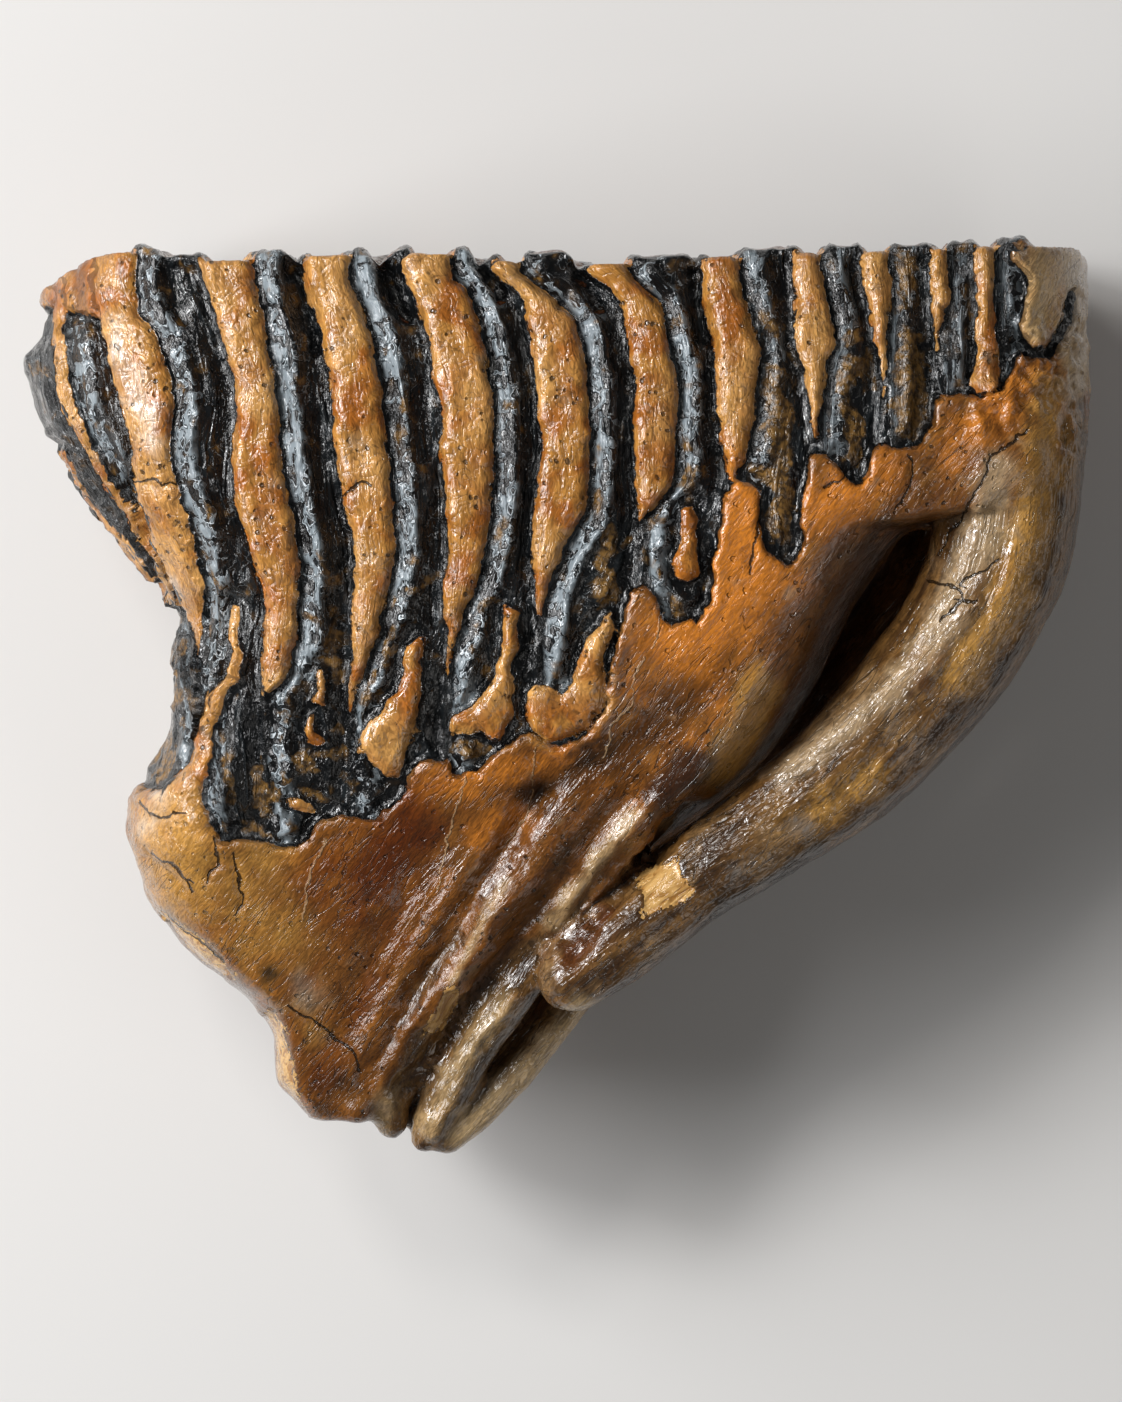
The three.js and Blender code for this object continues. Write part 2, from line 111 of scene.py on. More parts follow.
# Folds of the fused roots: height, half width, and the line that each follows.
FOLDS = [
    (0.3, 5, [(-14, -30), (-26, -44), (-37, -62), (-42, -76)]),
    (-1.6, 2.4, [(-3, -19), (-16, -38), (-26, -55), (-35, -73)]),
    (-1.8, 2.6, [(12, -19), (0, -34), (-11, -51), (-20, -66)]),
    (-0.9, 4, [(-22, -28), (-33, -47), (-43, -64)]),
    (-1.3, 7, [(25, 1), (8, -14), (-14, -25), (-29, -32)]),
    (1.6, 5.5, [(-73, -22), (-72, -36)]),
]

# Finer folds that show on the upper side alone.
UPPER_FOLDS = [
    (0.4, 3.2, [(-1, -22), (-8.8, -35.3)]),
    (1.7, 2.8, [(-9.5, -37), (-15.6, -45.4), (-19.5, -52.7), (-26.8, -60), (-32.5, -67.9),
                (-36.4, -76)]),
    (-0.7, 1.2, [(-3.2, -19.1), (-8.8, -28.5), (-13.9, -36.4), (-18.9, -45.4), (-25.7, -54.4),
                 (-31.9, -65.1), (-36.4, -71.3)]),
    (-1.7, 2.4, [(16, -17), (9.2, -26), (4.0, -33.6), (-2, -40.2), (-8.8, -49),
                 (-14.4, -56), (-20.1, -62.9), (-28.5, -73)]),
    (1.5, 2.2, [(15.6, -25.6), (12.8, -29.4), (8.8, -35), (3.6, -41.6), (-1, -47)]),
    (-2.2, 2.0, [(25.8, -20.5), (19.3, -26.7), (14.3, -32.9), (8.1, -39.8), (2.4, -47.3)]),
    (-0.3, 1.6, [(-26.8, -31.9), (-31.3, -43.2), (-35.3, -53.8), (-39.2, -62.3)]),
    (0.2, 1.6, [(-18.4, -31.9), (-24, -43.2), (-29.6, -52.7), (-35.3, -64)]),
    (0.3, 2.0, [(-37, -40), (-41, -54), (-44, -66)]),
    (-1.0, 3.2, [(-2, -13.3), (-11, -31.9)]),
    (-1.1, 2.6, [(7, -12), (-1, -16.5), (-6, -20)]),
    (1.0, 1.4, [(-7.7, -56.1), (-15, -64.5), (-18.4, -71.9), (-23.5, -82)]),
    (-1.0, 1.1, [(-11.1, -60), (-17.8, -69.6), (-23.5, -77.5)]),
    (-1.2, 5, [(-74, -12), (-75, 8)]),
    (1.4, 5, [(88, 44), (87, 32), (81, 17), (70, 2)]),
    (0.9, 2.2, [(80, 44), (79, 34), (75, 22), (66, 6), (50, -9), (38, -17), (24, -27)]),
    (-0.7, 1.6, [(84, 30), (80, 17), (70, 0), (58, -13), (44, -24)]),
    (-0.5, 1.2, [(22, -41.5), (10, -50), (4, -55)]),
    (1.1, 1.3, [(75.5, 81), (75.2, 60)]),
    (0.55, 0.7, [(-9, -36), (-15, -46), (-20.5, -55)]),
    (0.6, 0.7, [(18, -19), (9, -29.5), (2, -39), (-3, -48)]),
    (-0.5, 0.6, [(15.5, -24.5), (6, -35.5), (-1, -45)]),
    (0.5, 0.7, [(-8, -55.5), (-14, -63), (-20, -72), (-25, -80)]),
    (-0.45, 0.6, [(-5.5, -30), (-12, -40), (-17.5, -50)]),
    (0.3, 0.7, [(-29, -52), (-35, -62), (-39, -72)]),
    (-0.35, 0.6, [(-16, -28), (-23, -38), (-30, -49), (-36, -60)]),
]

# Separate roots and root ridges: (x, y, height above the middle plane, radius).
FRONT_ROOT = [
    (84, 56, 16, 12.6), (84, 41, 20.5, 13.7), (82.5, 28, 21, 13.3), (77, 14.5, 20, 12.4),
    (65.5, -1, 19, 12), (54, -13, 19, 11.1), (39, -24.5, 19, 9.4), (25, -34, 19.5, 8.4),
    (12, -44.5, 20, 7.9), (3, -52, 20, 6.4),
]
BACK_ROOT = [
    (84, 50, -18, 12), (81, 37, -20, 12), (73.5, 22, -19, 10.9), (62.5, 7, -18, 10.1),
    (51, -7, -17, 9.4), (38, -19, -16, 8.3), (25, -30.5, -14, 6.8), (13, -42.5, -9, 5.4),
    (4, -54, -2, 4.3), (-5, -66, 3, 3.8), (-14.5, -77, 4.5, 3.6), (-20.5, -82.5, 4.5, 2.6),
]
MIDDLE_ROOT = [
    (27, -8, 24, 4.1), (18.5, -18, 21, 4.5), (9, -31, 18.5, 4.6), (0, -42.5, 16, 4.6),
    (-8, -54, 13.5, 4.6), (-15.5, -65, 10.5, 4.4), (-22, -76.5, 7, 4), (-25, -82.5, 5, 2.4),
]
UNDER_ROOT = [
    (22, -12, -24, 4.6), (10, -28, -20, 4.8), (-2, -43, -16, 4.8), (-13, -60, -10.5, 4.6),
    (-22, -75, -5, 3.8), (-25, -82, -1, 2.4),
]
SIDE_ROOT = [
    (-10.5, -36, 20, 2.8), (-16.5, -44.5, 18, 3.4), (-22, -54, 15, 3.8), (-26.5, -63, 11.5, 4),
    (-30.5, -71.5, 8, 3.8), (-33, -76.5, 6, 2.4),
]
SIDE_ROOT_END = [(-29.5, -68, 9, 3.8), (-31.2, -75, 6.5, 3.6), (-31, -79.6, 5, 2.8)]
MIDDLE_ROOT_END = [(-17, -70, 8, 3.2), (-20.5, -77, 5.5, 3.0), (-22.5, -81.5, 4.5, 2.2)]
# Low webs of root between the separate roots; in the photograph those gaps are dark.
GAP_WEB = [(70, 36, -22, 5), (61, 24, -22, 6), (53, 12, -21, 6), (44, 0, -20, 5)]
TIP_WEB = [(3, -48, -10, 3), (-4, -57.5, -9, 3), (-12, -69, -6, 2.8), (-17, -76, -3, 2)]
FOOT_WEB = [(-21, -64, -4, 3), (-26, -73, -3, 3.2), (-28, -78, -2, 2.4)]
ROOTS = [FRONT_ROOT, BACK_ROOT, MIDDLE_ROOT, UNDER_ROOT, SIDE_ROOT, SIDE_ROOT_END,
         MIDDLE_ROOT_END, GAP_WEB, TIP_WEB, FOOT_WEB]

# === Markings: where the enamel ends, what is stained, chipped and cracked, and painted shade and light ===
# Enamel shows inside this outline, apart from the bands above and the patches of cement below.
ENAMEL_AREA = [
    (-102.6, 71.3), (-96.1, 73.5), (-90.4, 72.4), (-86.1, 71.3), (-83.5, 75.4), (-84.4, 81.8),
    (-83.5, 96), (84.6, 96), (85.4, 81.8), (88.7, 77.9), (87.6, 73.7), (86.3, 70), (87.2, 66.2),
    (85.6, 61.2), (83.7, 57.8), (79.4, 56.5), (72, 57.4), (70.9, 55.7), (70, 51.4), (67.7, 47.1),
    (63.6, 46.5), (61.4, 47.7), (59.3, 47.1), (58.5, 42.8), (57, 39.8), (55.3, 39.6),
    (52.7, 43.7), (50.7, 45.4), (47.1, 45.8), (46.3, 35.1), (46.3, 30), (45.4, 26.1),
    (43.7, 24.4), (42, 25.1), (39.4, 27.4), (38.1, 30), (37.7, 38.1), (36, 40.3), (33.4, 40.3),
    (31.1, 37.3), (30.2, 31.5), (29.8, 25.7), (29.5, 21.6), (28.7, 17.6), (26.1, 13.3),
    (24.8, 14.4), (21.8, 13.3), (20.1, 14.6), (18.4, 19.5), (16.1, 21.6), (14.1, 19.9),
    (11.4, 10.9), (8.8, 1.5), (9.4, -0.4), (7.7, -4.5), (4.3, -7.9), (0.2, -9.2), (-2.3, -8.1),
    (-4.7, -5.4), (-6.9, -6.8), (-9.8, -9.4), (-12.2, -11.1), (-14.4, -14.3), (-18.8, -14.1),
    (-20.5, -11.1), (-21.2, -12.4), (-24, -11.4), (-26.1, -12.9), (-28.3, -15), (-28.3, -18.2),
    (-31.1, -20.5), (-33.6, -22.9), (-36.8, -22.5), (-41.1, -21.2), (-44.3, -23.6),
    (-46.5, -26.8), (-48.6, -28.1), (-53.3, -27.6), (-57.6, -26.5), (-63.2, -26.8),
    (-65.9, -22.9), (-67.2, -18.6), (-73.5, -17.6), (-76.4, -17.3), (-86, -11.6), (-92, 10.9),
    (-108, 37.1),
]
CEMENT_PATCHES = [
    [(-26.5, 11.1), (-24.8, 10.7), (-24.6, 9), (-25.7, 6.2), (-26.1, -2.1), (-26.3, -6.8),
     (-27.8, -9.8), (-28.7, -12.6), (-29.6, -15), (-31.5, -14.6), (-34.5, -12.2), (-35.5, -10.5),
     (-37.5, -10.9), (-37, -9.6), (-36, -6.4), (-34.5, -4.1), (-32.6, -1.5), (-29.6, 1.9),
     (-28.5, 6.6), (-27.8, 9.6)],
    [(-9.9, 16.9), (-7.1, 16.5), (-7.1, 9.6), (-8.4, 6.6), (-7.9, 1.5), (-7.9, -1.9), (-9, -4.1),
     (-10.5, -7.7), (-12.2, -7.5), (-14.8, -6.2), (-19.5, -6.9), (-20.1, -5.6), (-18.8, -4.1),
     (-15.8, -0.8), (-13.5, 1.7), (-11.4, 4.3), (-10.5, 7.3), (-10.3, 12.9)],
    [(10.5, 15.9), (10.3, 11.6), (8.8, 7.3), (8.4, 2.3), (8.8, -0.4), (7.3, -3.4), (6.6, -5.3),
     (0.8, -8.3), (-1.9, -7.7), (-4.1, -5.6), (-5.1, -2.6), (-5.1, 0.4), (-3.6, 2.1),
     (-1.1, 1.5), (0.2, -0.2), (1.7, 1.5), (3.4, 6), (6.2, 11.3), (8.8, 14.6)],
    [(-61, 17.4), (-59.5, 17.1), (-59.7, 13.9), (-60.2, 10.9), (-59.5, 6.6), (-59.5, 3.6),
     (-61.5, 1.7), (-62.9, -1.7), (-64.5, -6.9), (-66, -14.4), (-67, -19.1), (-65.5, -23.3),
     (-64.2, -26.3), (-71.7, -27), (-76.4, -25.1), (-78.2, -21.4), (-73.5, -16.9),
     (-69.2, -12.6), (-67, -6.9), (-65.9, -1.3), (-64.7, 1.5), (-62.1, 4.1), (-61.2, 9),
     (-61.5, 12.8)],
    [(-45.6, 5.3), (-44.1, 5.6), (-43.2, 1.5), (-43.3, -1.3), (-46.2, -0.8), (-44.8, 1.5)],
    [(-47.7, -6.2), (-46.2, -3.4), (-45.6, -5.6), (-43.5, -7.5), (-44.8, -8.6), (-47.1, -8.1)],
    [(-50.5, -18.8), (-48.8, -18.6), (-45.6, -20.1), (-44.8, -21.4), (-47.3, -21.4),
     (-49.7, -20.3)],
    [(22.9, 35.5), (25, 35.8), (26.1, 33.4), (26.5, 28.7), (26.8, 23.6), (25, 22.1),
     (22.7, 23.1), (22.3, 25.9), (23.5, 29.6)],
]
# Rough, knobbly skin where the front root meets the crown, as strokes.
KNOBBLY = [([(86, 66), (94, 66), (90, 59), (80, 53)], 5, 2.4), ([(97, 60), (96, 48)], 4, 1.2)]
# A line of cement across the enamel at the left end.
LEFT_CEMENT_LINE = [(-92.9, 45.6), (-87.6, 36.2), (-82, 29.6), (-76.4, 22.5)]
CEMENT_LINE_HALF_WIDTH = 0.6
# The worn loop of enamel that hooks round the end of the chewing surface.
FIRST_PLATE_LOOP = [(83.5, 83.7), (85.4, 79.4), (87.2, 75.6), (85.7, 70), (86.9, 66.2),
                    (89.3, 64.9), (92.1, 64.9), (94.4, 68.1), (95.9, 72.8), (96.6, 75.2)]
LOOP_HALF_WIDTH = 1.1

# Broken patches, dark cracks and thin pale veins.
CHIPS = [
    [(14.3, -34), (15.6, -32.3), (22.3, -30), (23.8, -34), (26.1, -35.6), (23.3, -38.1),
     (19.7, -40), (16.5, -41.3), (15.9, -39.4), (16.5, -36.8), (14.6, -35.5)],
    [(-25.9, -63), (-23.6, -59.1), (-21.6, -55.5), (-18.8, -53.8), (-18.2, -55.5),
     (-18.8, -57.8), (-21.6, -61.7), (-23.3, -62.7)],
    [(-53.5, -58.5), (-51.8, -61), (-50.3, -66.2), (-49.3, -71.5), (-49, -73.4), (-46.3, -78.2),
     (-49.9, -80), (-58, -73.4), (-60, -60)],
    [(-75, -40.2), (-70.7, -42.2), (-67.2, -44.7), (-64.4, -47.3), (-60.4, -52), (-66, -53),
     (-74, -47.3)],
]
CRACKS = [
    [(-79.2, 40.5), (-76.4, 41.3), (-73.9, 39.8), (-70.7, 40.9)],
    [(-40.2, 38.1), (-38.5, 39.4), (-36.8, 40.7), (-35.5, 40.3)],
    [(87.6, 49.5), (81.4, 45.6), (80.7, 41.8), (77.1, 36.4), (75.6, 33.6), (73.4, 31),
     (72, 27.4)],
    [(70.2, 22), (74.9, 20.1), (75.8, 19.1)],
    [(75.6, 21.2), (80.9, 24.6), (82.4, 25.9)],
    [(72.8, 15), (74.7, 16.9), (78, 18.2)],
    [(-50.3, -57.8), (-46.7, -59.7), (-41.8, -63), (-38.3, -66.6), (-36.6, -69.8)],
    [(-72.2, -41.8), (-68.7, -44.7), (-65.1, -46.9), (-63.2, -49)],
    [(-60.4, -30), (-60, -33.6), (-59.1, -37.9), (-60.4, -40.3)],
    [(66.4, 44.3), (66.8, 41.3), (64.4, 36.2)],
    [(50.5, 39.6), (55.5, 42.8), (57.2, 44.1)],
    [(38.1, 33.4), (36.6, 28.7), (36.6, 24)],
    [(-78, -20), (-74, -22.5), (-70, -21.5)],
    [(-76, -29), (-72, -31.5), (-69, -36)],
    [(-64.5, -27), (-63.5, -31), (-65, -34)],
]
VEINS = [
    [(-17.4, -15.4), (-19.1, -21.6), (-20.8, -29.3), (-22.1, -35.3)],
    [(-4.1, -9.9), (-4.5, -17.3), (-5.8, -22), (-8.8, -26.6)],
    [(19.7, 15.6), (18, 9.9), (14.4, 4.3), (14.1, -0.8), (10.7, -5.1), (8.8, -10.7)],
    [(-43.5, -27), (-46, -32.3), (-47.5, -37.9), (-48.2, -41.7)],
]
# Stains as strokes: (line, half width, strength).
ENAMEL_STAINS = [
    ([(40.9, 62), (42.8, 29.6)], 2.5, 1.4),
    ([(54, 66.5), (56.3, 47.5)], 2.6, 1.5),
    ([(65.3, 80.5), (66, 66)], 2.2, 0.9),
    ([(66, 64), (66.5, 51)], 2.6, 1.9),
    ([(9, 29.6), (10.3, 18.4)], 2.4, 1.2),
    ([(-42.6, -10.7), (-55.7, -18.2), (-60.4, -23.8)], 6.5, 0.6),
    ([(25, 42.8), (25, 35.3)], 1.8, 0.6),
    ([(-39.8, 10.9), (-42.6, -0.4)], 2.4, 0.7),
    ([(-17.3, -8.8), (-14.4, -12.6)], 4, 1.0),
    ([(0.6, -6.9), (6.2, -3.2)], 3, 1.0),
    ([(-30.4, 18.4), (-32.3, 7.1)], 2.4, 0.7),
    ([(78, 80), (78, 62)], 1.2, 1.0),
    ([(-72.6, 9), (-74.5, -13.5)], 3.5, 0.7),
]
# Tints of cement and roots, some of them painted light and shade as noted at each: name, colour,
# strength, and strokes of (line, half width, strength).
TINTS = [
    ("brown", (0.055, 0.017, 0.001), 0.9, [
        ([(31, 10), (23, -1), (8, -13), (-4, -20)], 5.5, 0.9),
        ([(42, 15), (33, 2), (18, -8)], 3.5, 0.5),
        ([(58, 27), (50, 12), (45.5, 0), (41, -8)], 4.5, 0.95),
        ([(62, 39), (52, 24)], 6, 0.55),
        ([(-22, -52), (-36, -74)], 6, 0.5),
        ([(-40, -58), (-44, -74)], 6, 0.5),
    ]),
    ("ochre", (0.42, 0.215, 0.045), 0.7, [
        ([(-71.7, -24), (-72, -34)], 11, 1.0),
        ([(-60, -33), (-54, -46)], 10, 0.7),
        ([(56, -17), (44, -22)], 5, 0.5),
        # Painted light: this stroke lightens a place that the form turns away into shade.
        ([(38, 2), (35, -7), (31, -13)], 4, 1.4),
        ([(-52, -29), (-56, -32)], 5, 0.7),
    ]),
    ("orange", (0.55, 0.18, 0.018), 0.9, [
        ([(37, 38), (34, 24), (24, 12)], 9, 1.1),
        ([(48, 36), (60, 42)], 7, 0.8),
        ([(90, 60), (80, 52)], 5, 0.8),
        ([(-16, -15), (2, -12)], 4, 0.7),
        ([(-33, -24), (-50, -32)], 4, 0.4),
        ([(-8, -21), (-14, -26)], 4, 0.8),
        ([(-17, -16), (-26, -18)], 4, 0.8),
    ]),
    ("root_ochre", (0.45, 0.235, 0.055), 0.85, [
        ([(90, 42), (88.5, 28), (83, 14), (76, 4)], 4.5, 1.0),
        ([(92, 58), (92, 43)], 5, 0.9),
        ([(60, -14), (48, -22)], 5, 0.6),
        ([(91, 78), (90, 72)], 6, 0.9),
        ([(-47, -56), (-45, -63)], 4, 0.5),
    ]),
    # Tan: pale tips of the fingers, and painted highlights along the crests of the two root ridges.
    ("tan", (0.4, 0.27, 0.13), 0.75, [
        ([(-10, -57), (-17, -67), (-25, -81)], 3, 0.9),
        ([(-32, -74), (-33, -80)], 2.5, 0.6),
        ([(-9.5, -34), (-14.4, -43), (-20, -53)], 1.3, 0.9),
        ([(14, -22), (6.5, -32), (-1, -42)], 2.0, 1.0),
    ]),
    # Buff: the pale cores of the last plates, and painted light on the back root's tip and the far
    # corner, which lie in shade, on top of the front root and along its inner edge.
    ("buff_and_painted_light", (0.56, 0.39, 0.2), 0.8, [
        ([(91, 82), (90, 71)], 6, 0.8),
        ([(97, 82), (98, 60)], 3, 1.2),
        ([(5, -60), (-6, -72), (-17, -82)], 4, 1.1),
        ([(74, 20), (66, 8), (56, -4), (44, -14)], 1.8, 0.5),
        ([(83, 36), (82, 30)], 4, 0.5),
    ]),
    ("mauve", (0.15, 0.075, 0.025), 0.5, [
        ([(96, 55), (94, 28), (84, 6), (66, -15)], 3, 0.3),
        ([(9, -45), (3, -50)], 6, 0.5),
    ]),
    # Painted highlight: pale along the crest of the front root, and painted light on the far corner,
    # which lies in shade.
    ("worn", (0.36, 0.25, 0.14), 0.8, [
        ([(83, 43), (81, 36), (77, 25), (72, 16)], 4, 0.95),
        ([(74, 14), (67, 6), (56, -4), (43, -14)], 3.4, 0.85),
        ([(97, 80), (97, 58)], 3, 1.0),
    ]),
    ("grey", (0.15, 0.12, 0.095), 0.75, [
        ([(45.6, -23.8), (46, -24)], 2.6, 1.0),
        ([(33.4, -32.3), (33.5, -32.5)], 2, 0.8),
        ([(-48.2, -53.8), (-46.5, -56)], 3.5, 0.8),
        ([(-74.5, 5), (-76, -12)], 4, 0.4),
        ([(-74, -41), (-64, -49.5), (-58, -56)], 2.2, 0.8),
        ([(-54, -58), (-50.5, -66), (-50, -73)], 1.6, 0.7),
    ]),
    # Painted glare: pale highlights on the left flank of the first cement band, near its lower end,
    # and on the lump at the lower left.
    ("painted_glare", (0.8, 0.72, 0.62), 0.6, [
        ([(-83, 70), (-80, 60), (-76, 48)], 2.6, 0.55),
        ([(-72, 22), (-69.5, 12)], 1.6, 0.6),
        ([(-73, -16), (-77, -24)], 3, 0.4),
    ]),
    ("red", (0.095, 0.018, 0.001), 0.9, [
        ([(-27, -22), (-33, -33)], 9, 0.9),
        ([(-36, -40), (-30, -30)], 10, 0.6),
        ([(-44.5, -71.7), (-42, -66)], 5, 0.6),
        ([(-54, 36), (-52, 24)], 4, 0.35),
        ([(8, -41), (1, -50)], 5, 0.5),
        ([(-41, -28), (-46, -37)], 4.5, 0.6),
        ([(-38, -60), (-30, -46)], 4, 0.5),
        ([(-9, -34), (-16, -44)], 3, 0.4),
        ([(-35.3, 82), (-29.4, 70)], 1.2, 1.2),
        ([(-17, 83), (-12.8, 75)], 1.1, 1.2),
        ([(2.4, 82), (6.8, 72.6)], 1.1, 1.2),
    ]),
    ("hump", (0.03, 0.01, 0.004), 0.9, [
        ([(19, -18), (26, -12)], 3.6, 1.2),
    ]),
    # Painted shade: darker in the furrows and gaps between the roots, at the top of the slot beside
    # the front root and along that root's lower side; a few small dark spots besides.
    ("dark", (0.016, 0.008, 0.003), 0.85, [
        ([(66, 42), (60, 31)], 6, 0.5),
        ([(10, -9), (0.6, -15.5), (-6, -18.5)], 2.6, 0.9),
        ([(30, -41), (40, -35), (50, -28)], 2.0, 0.9),
        ([(-20, -29), (-34, -37)], 4, 0.4),
        ([(30, -15), (24, -20)], 3.5, 0.6),
        ([(3, -27), (-7, -43), (-20, -63)], 3.2, 0.5),
        ([(-8, -28), (-19, -46), (-32, -65)], 1.6, 0.45),
        ([(-54, -51.6), (-54, -51)], 2.6, 0.9),
        ([(-41, -72), (-46, -77)], 4, 0.5),
        ([(33, -39), (31, -38)], 3, 0.8),
        ([(-13, -66), (-21, -75)], 1.2, 0.6),
        ([(15.5, -2), (15.6, -1.8)], 1.0, 0.9),
    ]),
]

# === Camera: straight above the middle of the tooth ===
IMAGE_PIXELS = (1122, 1402)
PIXELS_PER_MM = 5.33  # at the middle plane
LOOKS_AT = (0.75, -0.56)
CAMERA_HEIGHT = 2000  # above the middle plane
SENSOR = 36

# === Curves and distances ===
FAR = 1e9  # farther than any distance here


def smooth(t):
    """A smooth step from 0 to 1."""
    c = np.clip(t, 0.0, 1.0)
    return c * c * (3 - 2 * c)


def profile(pairs):
    """A smooth curve through (at, value) pairs that never swings past them; flat beyond its ends."""
    at, value = np.array(sorted(pairs), float).T
    width = np.diff(at)
    slope = np.diff(value) / width
    before, after = slope[:-1], slope[1:]
    turn = before * after
    tangent = np.zeros(len(at))
    tangent[1:-1] = np.where(turn > 0, 2 * turn / np.where(turn > 0, before + after, 1), 0)

    def curve(x):
        x = np.clip(x, at[0], at[-1])
        i = np.clip(np.searchsorted(at, x, side="right") - 1, 0, len(width) - 1)
        t = (x - at[i]) / width[i]
        bend = t * (1 - t) * width[i] * ((1 - t) * tangent[i] - t * tangent[i + 1])
        return value[i] + (value[i + 1] - value[i]) * smooth(t) + bend

    return curve


def line_offset(line, x, y):
    """Distance to a line, and the same with the sign of the side of the line."""
    nearest = np.full(np.shape(x), FAR)
    signed = nearest.copy()
    for (ax, ay), (bx, by) in zip(line, line[1:]):
        dx, dy = bx - ax, by - ay
        t = np.clip(((x - ax) * dx + (y - ay) * dy) / (dx * dx + dy * dy), 0, 1)
        away = np.hypot(x - ax - t * dx, y - ay - t * dy)
        side = ((x - ax) * dy - (y - ay) * dx) / math.hypot(dx, dy)
        closer = away < nearest
        nearest = np.where(closer, away, nearest)
        signed = np.where(closer, side, signed)
    return nearest, signed


def nearest_line(lines, x, y):
    """The line_offset to the nearest of some lines."""
    offsets = np.array([line_offset(line, x, y) for line in lines])
    nearest = offsets[:, 0].argmin(0)
    return offsets[nearest, :, np.arange(len(x))].T


def inside(outline, x, y):
    """Distance to a closed outline, positive inside it."""
    closed = outline + outline[:1]
    within = np.zeros(np.shape(x), bool)
    for (ax, ay), (bx, by) in zip(closed, closed[1:]):
        if ay != by:
            crosses = (ay > y) != (by > y)
            within ^= crosses & (x < ax + (y - ay) * (bx - ax) / (by - ay))
    away = line_offset(closed, x, y)[0]
    return np.where(within, away, -away)


def strokes(lines, x, y):
    """The strongest of soft strokes of (line, half width, strength)."""
    most = np.zeros(np.shape(x))
    for line, half_width, strength in lines:
        away = line_offset(line, x, y)[0] / half_width
        most = np.maximum(most, strength * np.exp(-away * away))
    return most


def folded(folds, x, y):
    """The folds of (height, half width, line), added up."""
    return sum(height * np.exp(-(line_offset(line, x, y)[0] / half_width) ** 2)
               for height, half_width, line in folds)


def ripple(points, size, seed=0.0, octaves=3):
    """Fractal noise, about -1 to 1, with waves of the given size in each direction."""
    spread = points / np.asarray(size, float) + seed
    return np.array([noise.fractal(p, 1.0, 2.0, octaves) for p in spread.tolist()])


def flat_ripple(points, size, seeds):
    """Two ripples side by side, to move points in X and Y."""
    return np.stack([ripple(points, size, seed, 2) for seed in seeds], 1)


left_side = profile(LEFT_SIDE)
right_side = profile(RIGHT_SIDE)
chewing_edge = profile(CHEWING_EDGE)
half_thickness_at = profile(HALF_THICKNESS)
left_rounding = profile(LEFT_ROUNDING)
right_rounding = profile(RIGHT_ROUNDING)

# === The smooth form, as a distance field ===
VOXEL = 0.75
REACH = {"x": (-106, 106), "y": (-92, 92), "z": (-3, 88)}
FIELD_BAND = 3 * VOXEL
GRADIENT_RANGE = (0.5, 3)
CHEWING_EDGE_BLEND = 3.5
FOOT_BLEND = 3
FOOT_EXTRA = 0.9  # how far the blended foot is cut below FOOT
ROOT_MARGIN = 8  # how far from its surface a root can still change the field
ROOT_BLEND, CROWN_BLEND = 2.2, 6  # of free roots, and what is added where they join the crown
CROWN_BLEND_FROM, CROWN_BLEND_OVER = 28, 22


def nominal_height(x, y):
    """Height before wear of a point at height y: the crown is worn down towards its left end."""
    worn = (CROWN_TOP - chewing_edge(x)) / (CROWN_TOP - WEAR_BEGINS)
    above = np.maximum(y - WEAR_BEGINS, 0)
    return np.minimum(y, WEAR_BEGINS) + above / (1 - worn)


def half_depth(x, y, below):
    """Half the thickness at the middle of the breadth; `below` is for the side underneath."""
    b = UNDER_BULGE
    spread = ((x - b["x"]) / b["half_length"]) ** 2 + ((y - b["y"]) / b["half_height"]) ** 2
    under = 1 + b["share"] * np.exp(-spread) if below else 1
    return half_thickness_at(y) * (1 - THINNER_AT_ENDS * (x / 100) ** 2) * under


def rounded_edge(inwards, rounding, z, half):
    """Field of a slab with one edge rounded as a quarter of an ellipse."""
    u = np.maximum((rounding - inwards) / rounding, 0)[:, :, None]
    v = np.maximum(np.abs(z) / half[:, :, None], 1e-3)
    length = np.sqrt(u * u + v * v)
    slope = np.sqrt((u / rounding[:, :, None]) ** 2 + (v / half[:, :, None]) ** 2)
    return length * (length - 1) / slope


def join(a, b, width):
    """The union of two fields, blended over a width."""
    t = np.clip(0.5 + 0.5 * (b - a) / width, 0, 1)
    return b + (a - b) * t - width * t * (1 - t)


def body_field(xs, ys, zs):
    """The crown and the fused roots."""
    x, y = np.meshgrid(xs, ys, indexing="ij")
    height = nominal_height(x, y)
    z = (zs - MIDDLE)[None, None, :]
    field = np.empty((len(xs), len(ys), len(zs)), np.float32)
    for below, part in ((True, zs < MIDDLE), (False, zs >= MIDDLE)):
        half = half_depth(x, height, below)
        left = rounded_edge(x - left_side(height), left_rounding(height), z[:, :, part], half)
        right = rounded_edge(right_side(height) - x, right_rounding(height), z[:, :, part], half)
        field[:, :, part] = np.maximum(left, right)
    gradient = np.sqrt(sum(g * g for g in np.gradient(field, VOXEL)))
    field /= np.clip(gradient, *GRADIENT_RANGE)
    crown = (y - chewing_edge(x))[:, :, None]
    foot = (FOOT - FOOT_EXTRA - y)[:, :, None]
    return -join(join(-field, -crown, CHEWING_EDGE_BLEND), -foot, FOOT_BLEND)


def centreline(points):
    """Closely spaced points along a root's smooth centreline, and its radius there."""
    steps = np.linspace(0, len(points) - 1, 3 * (len(points) - 1) + 1)
    columns = [profile(list(enumerate(column)))(steps) for column in zip(*points)]
    x, y, z, radius = columns
    return np.stack([x, y, z + MIDDLE], 1), radius


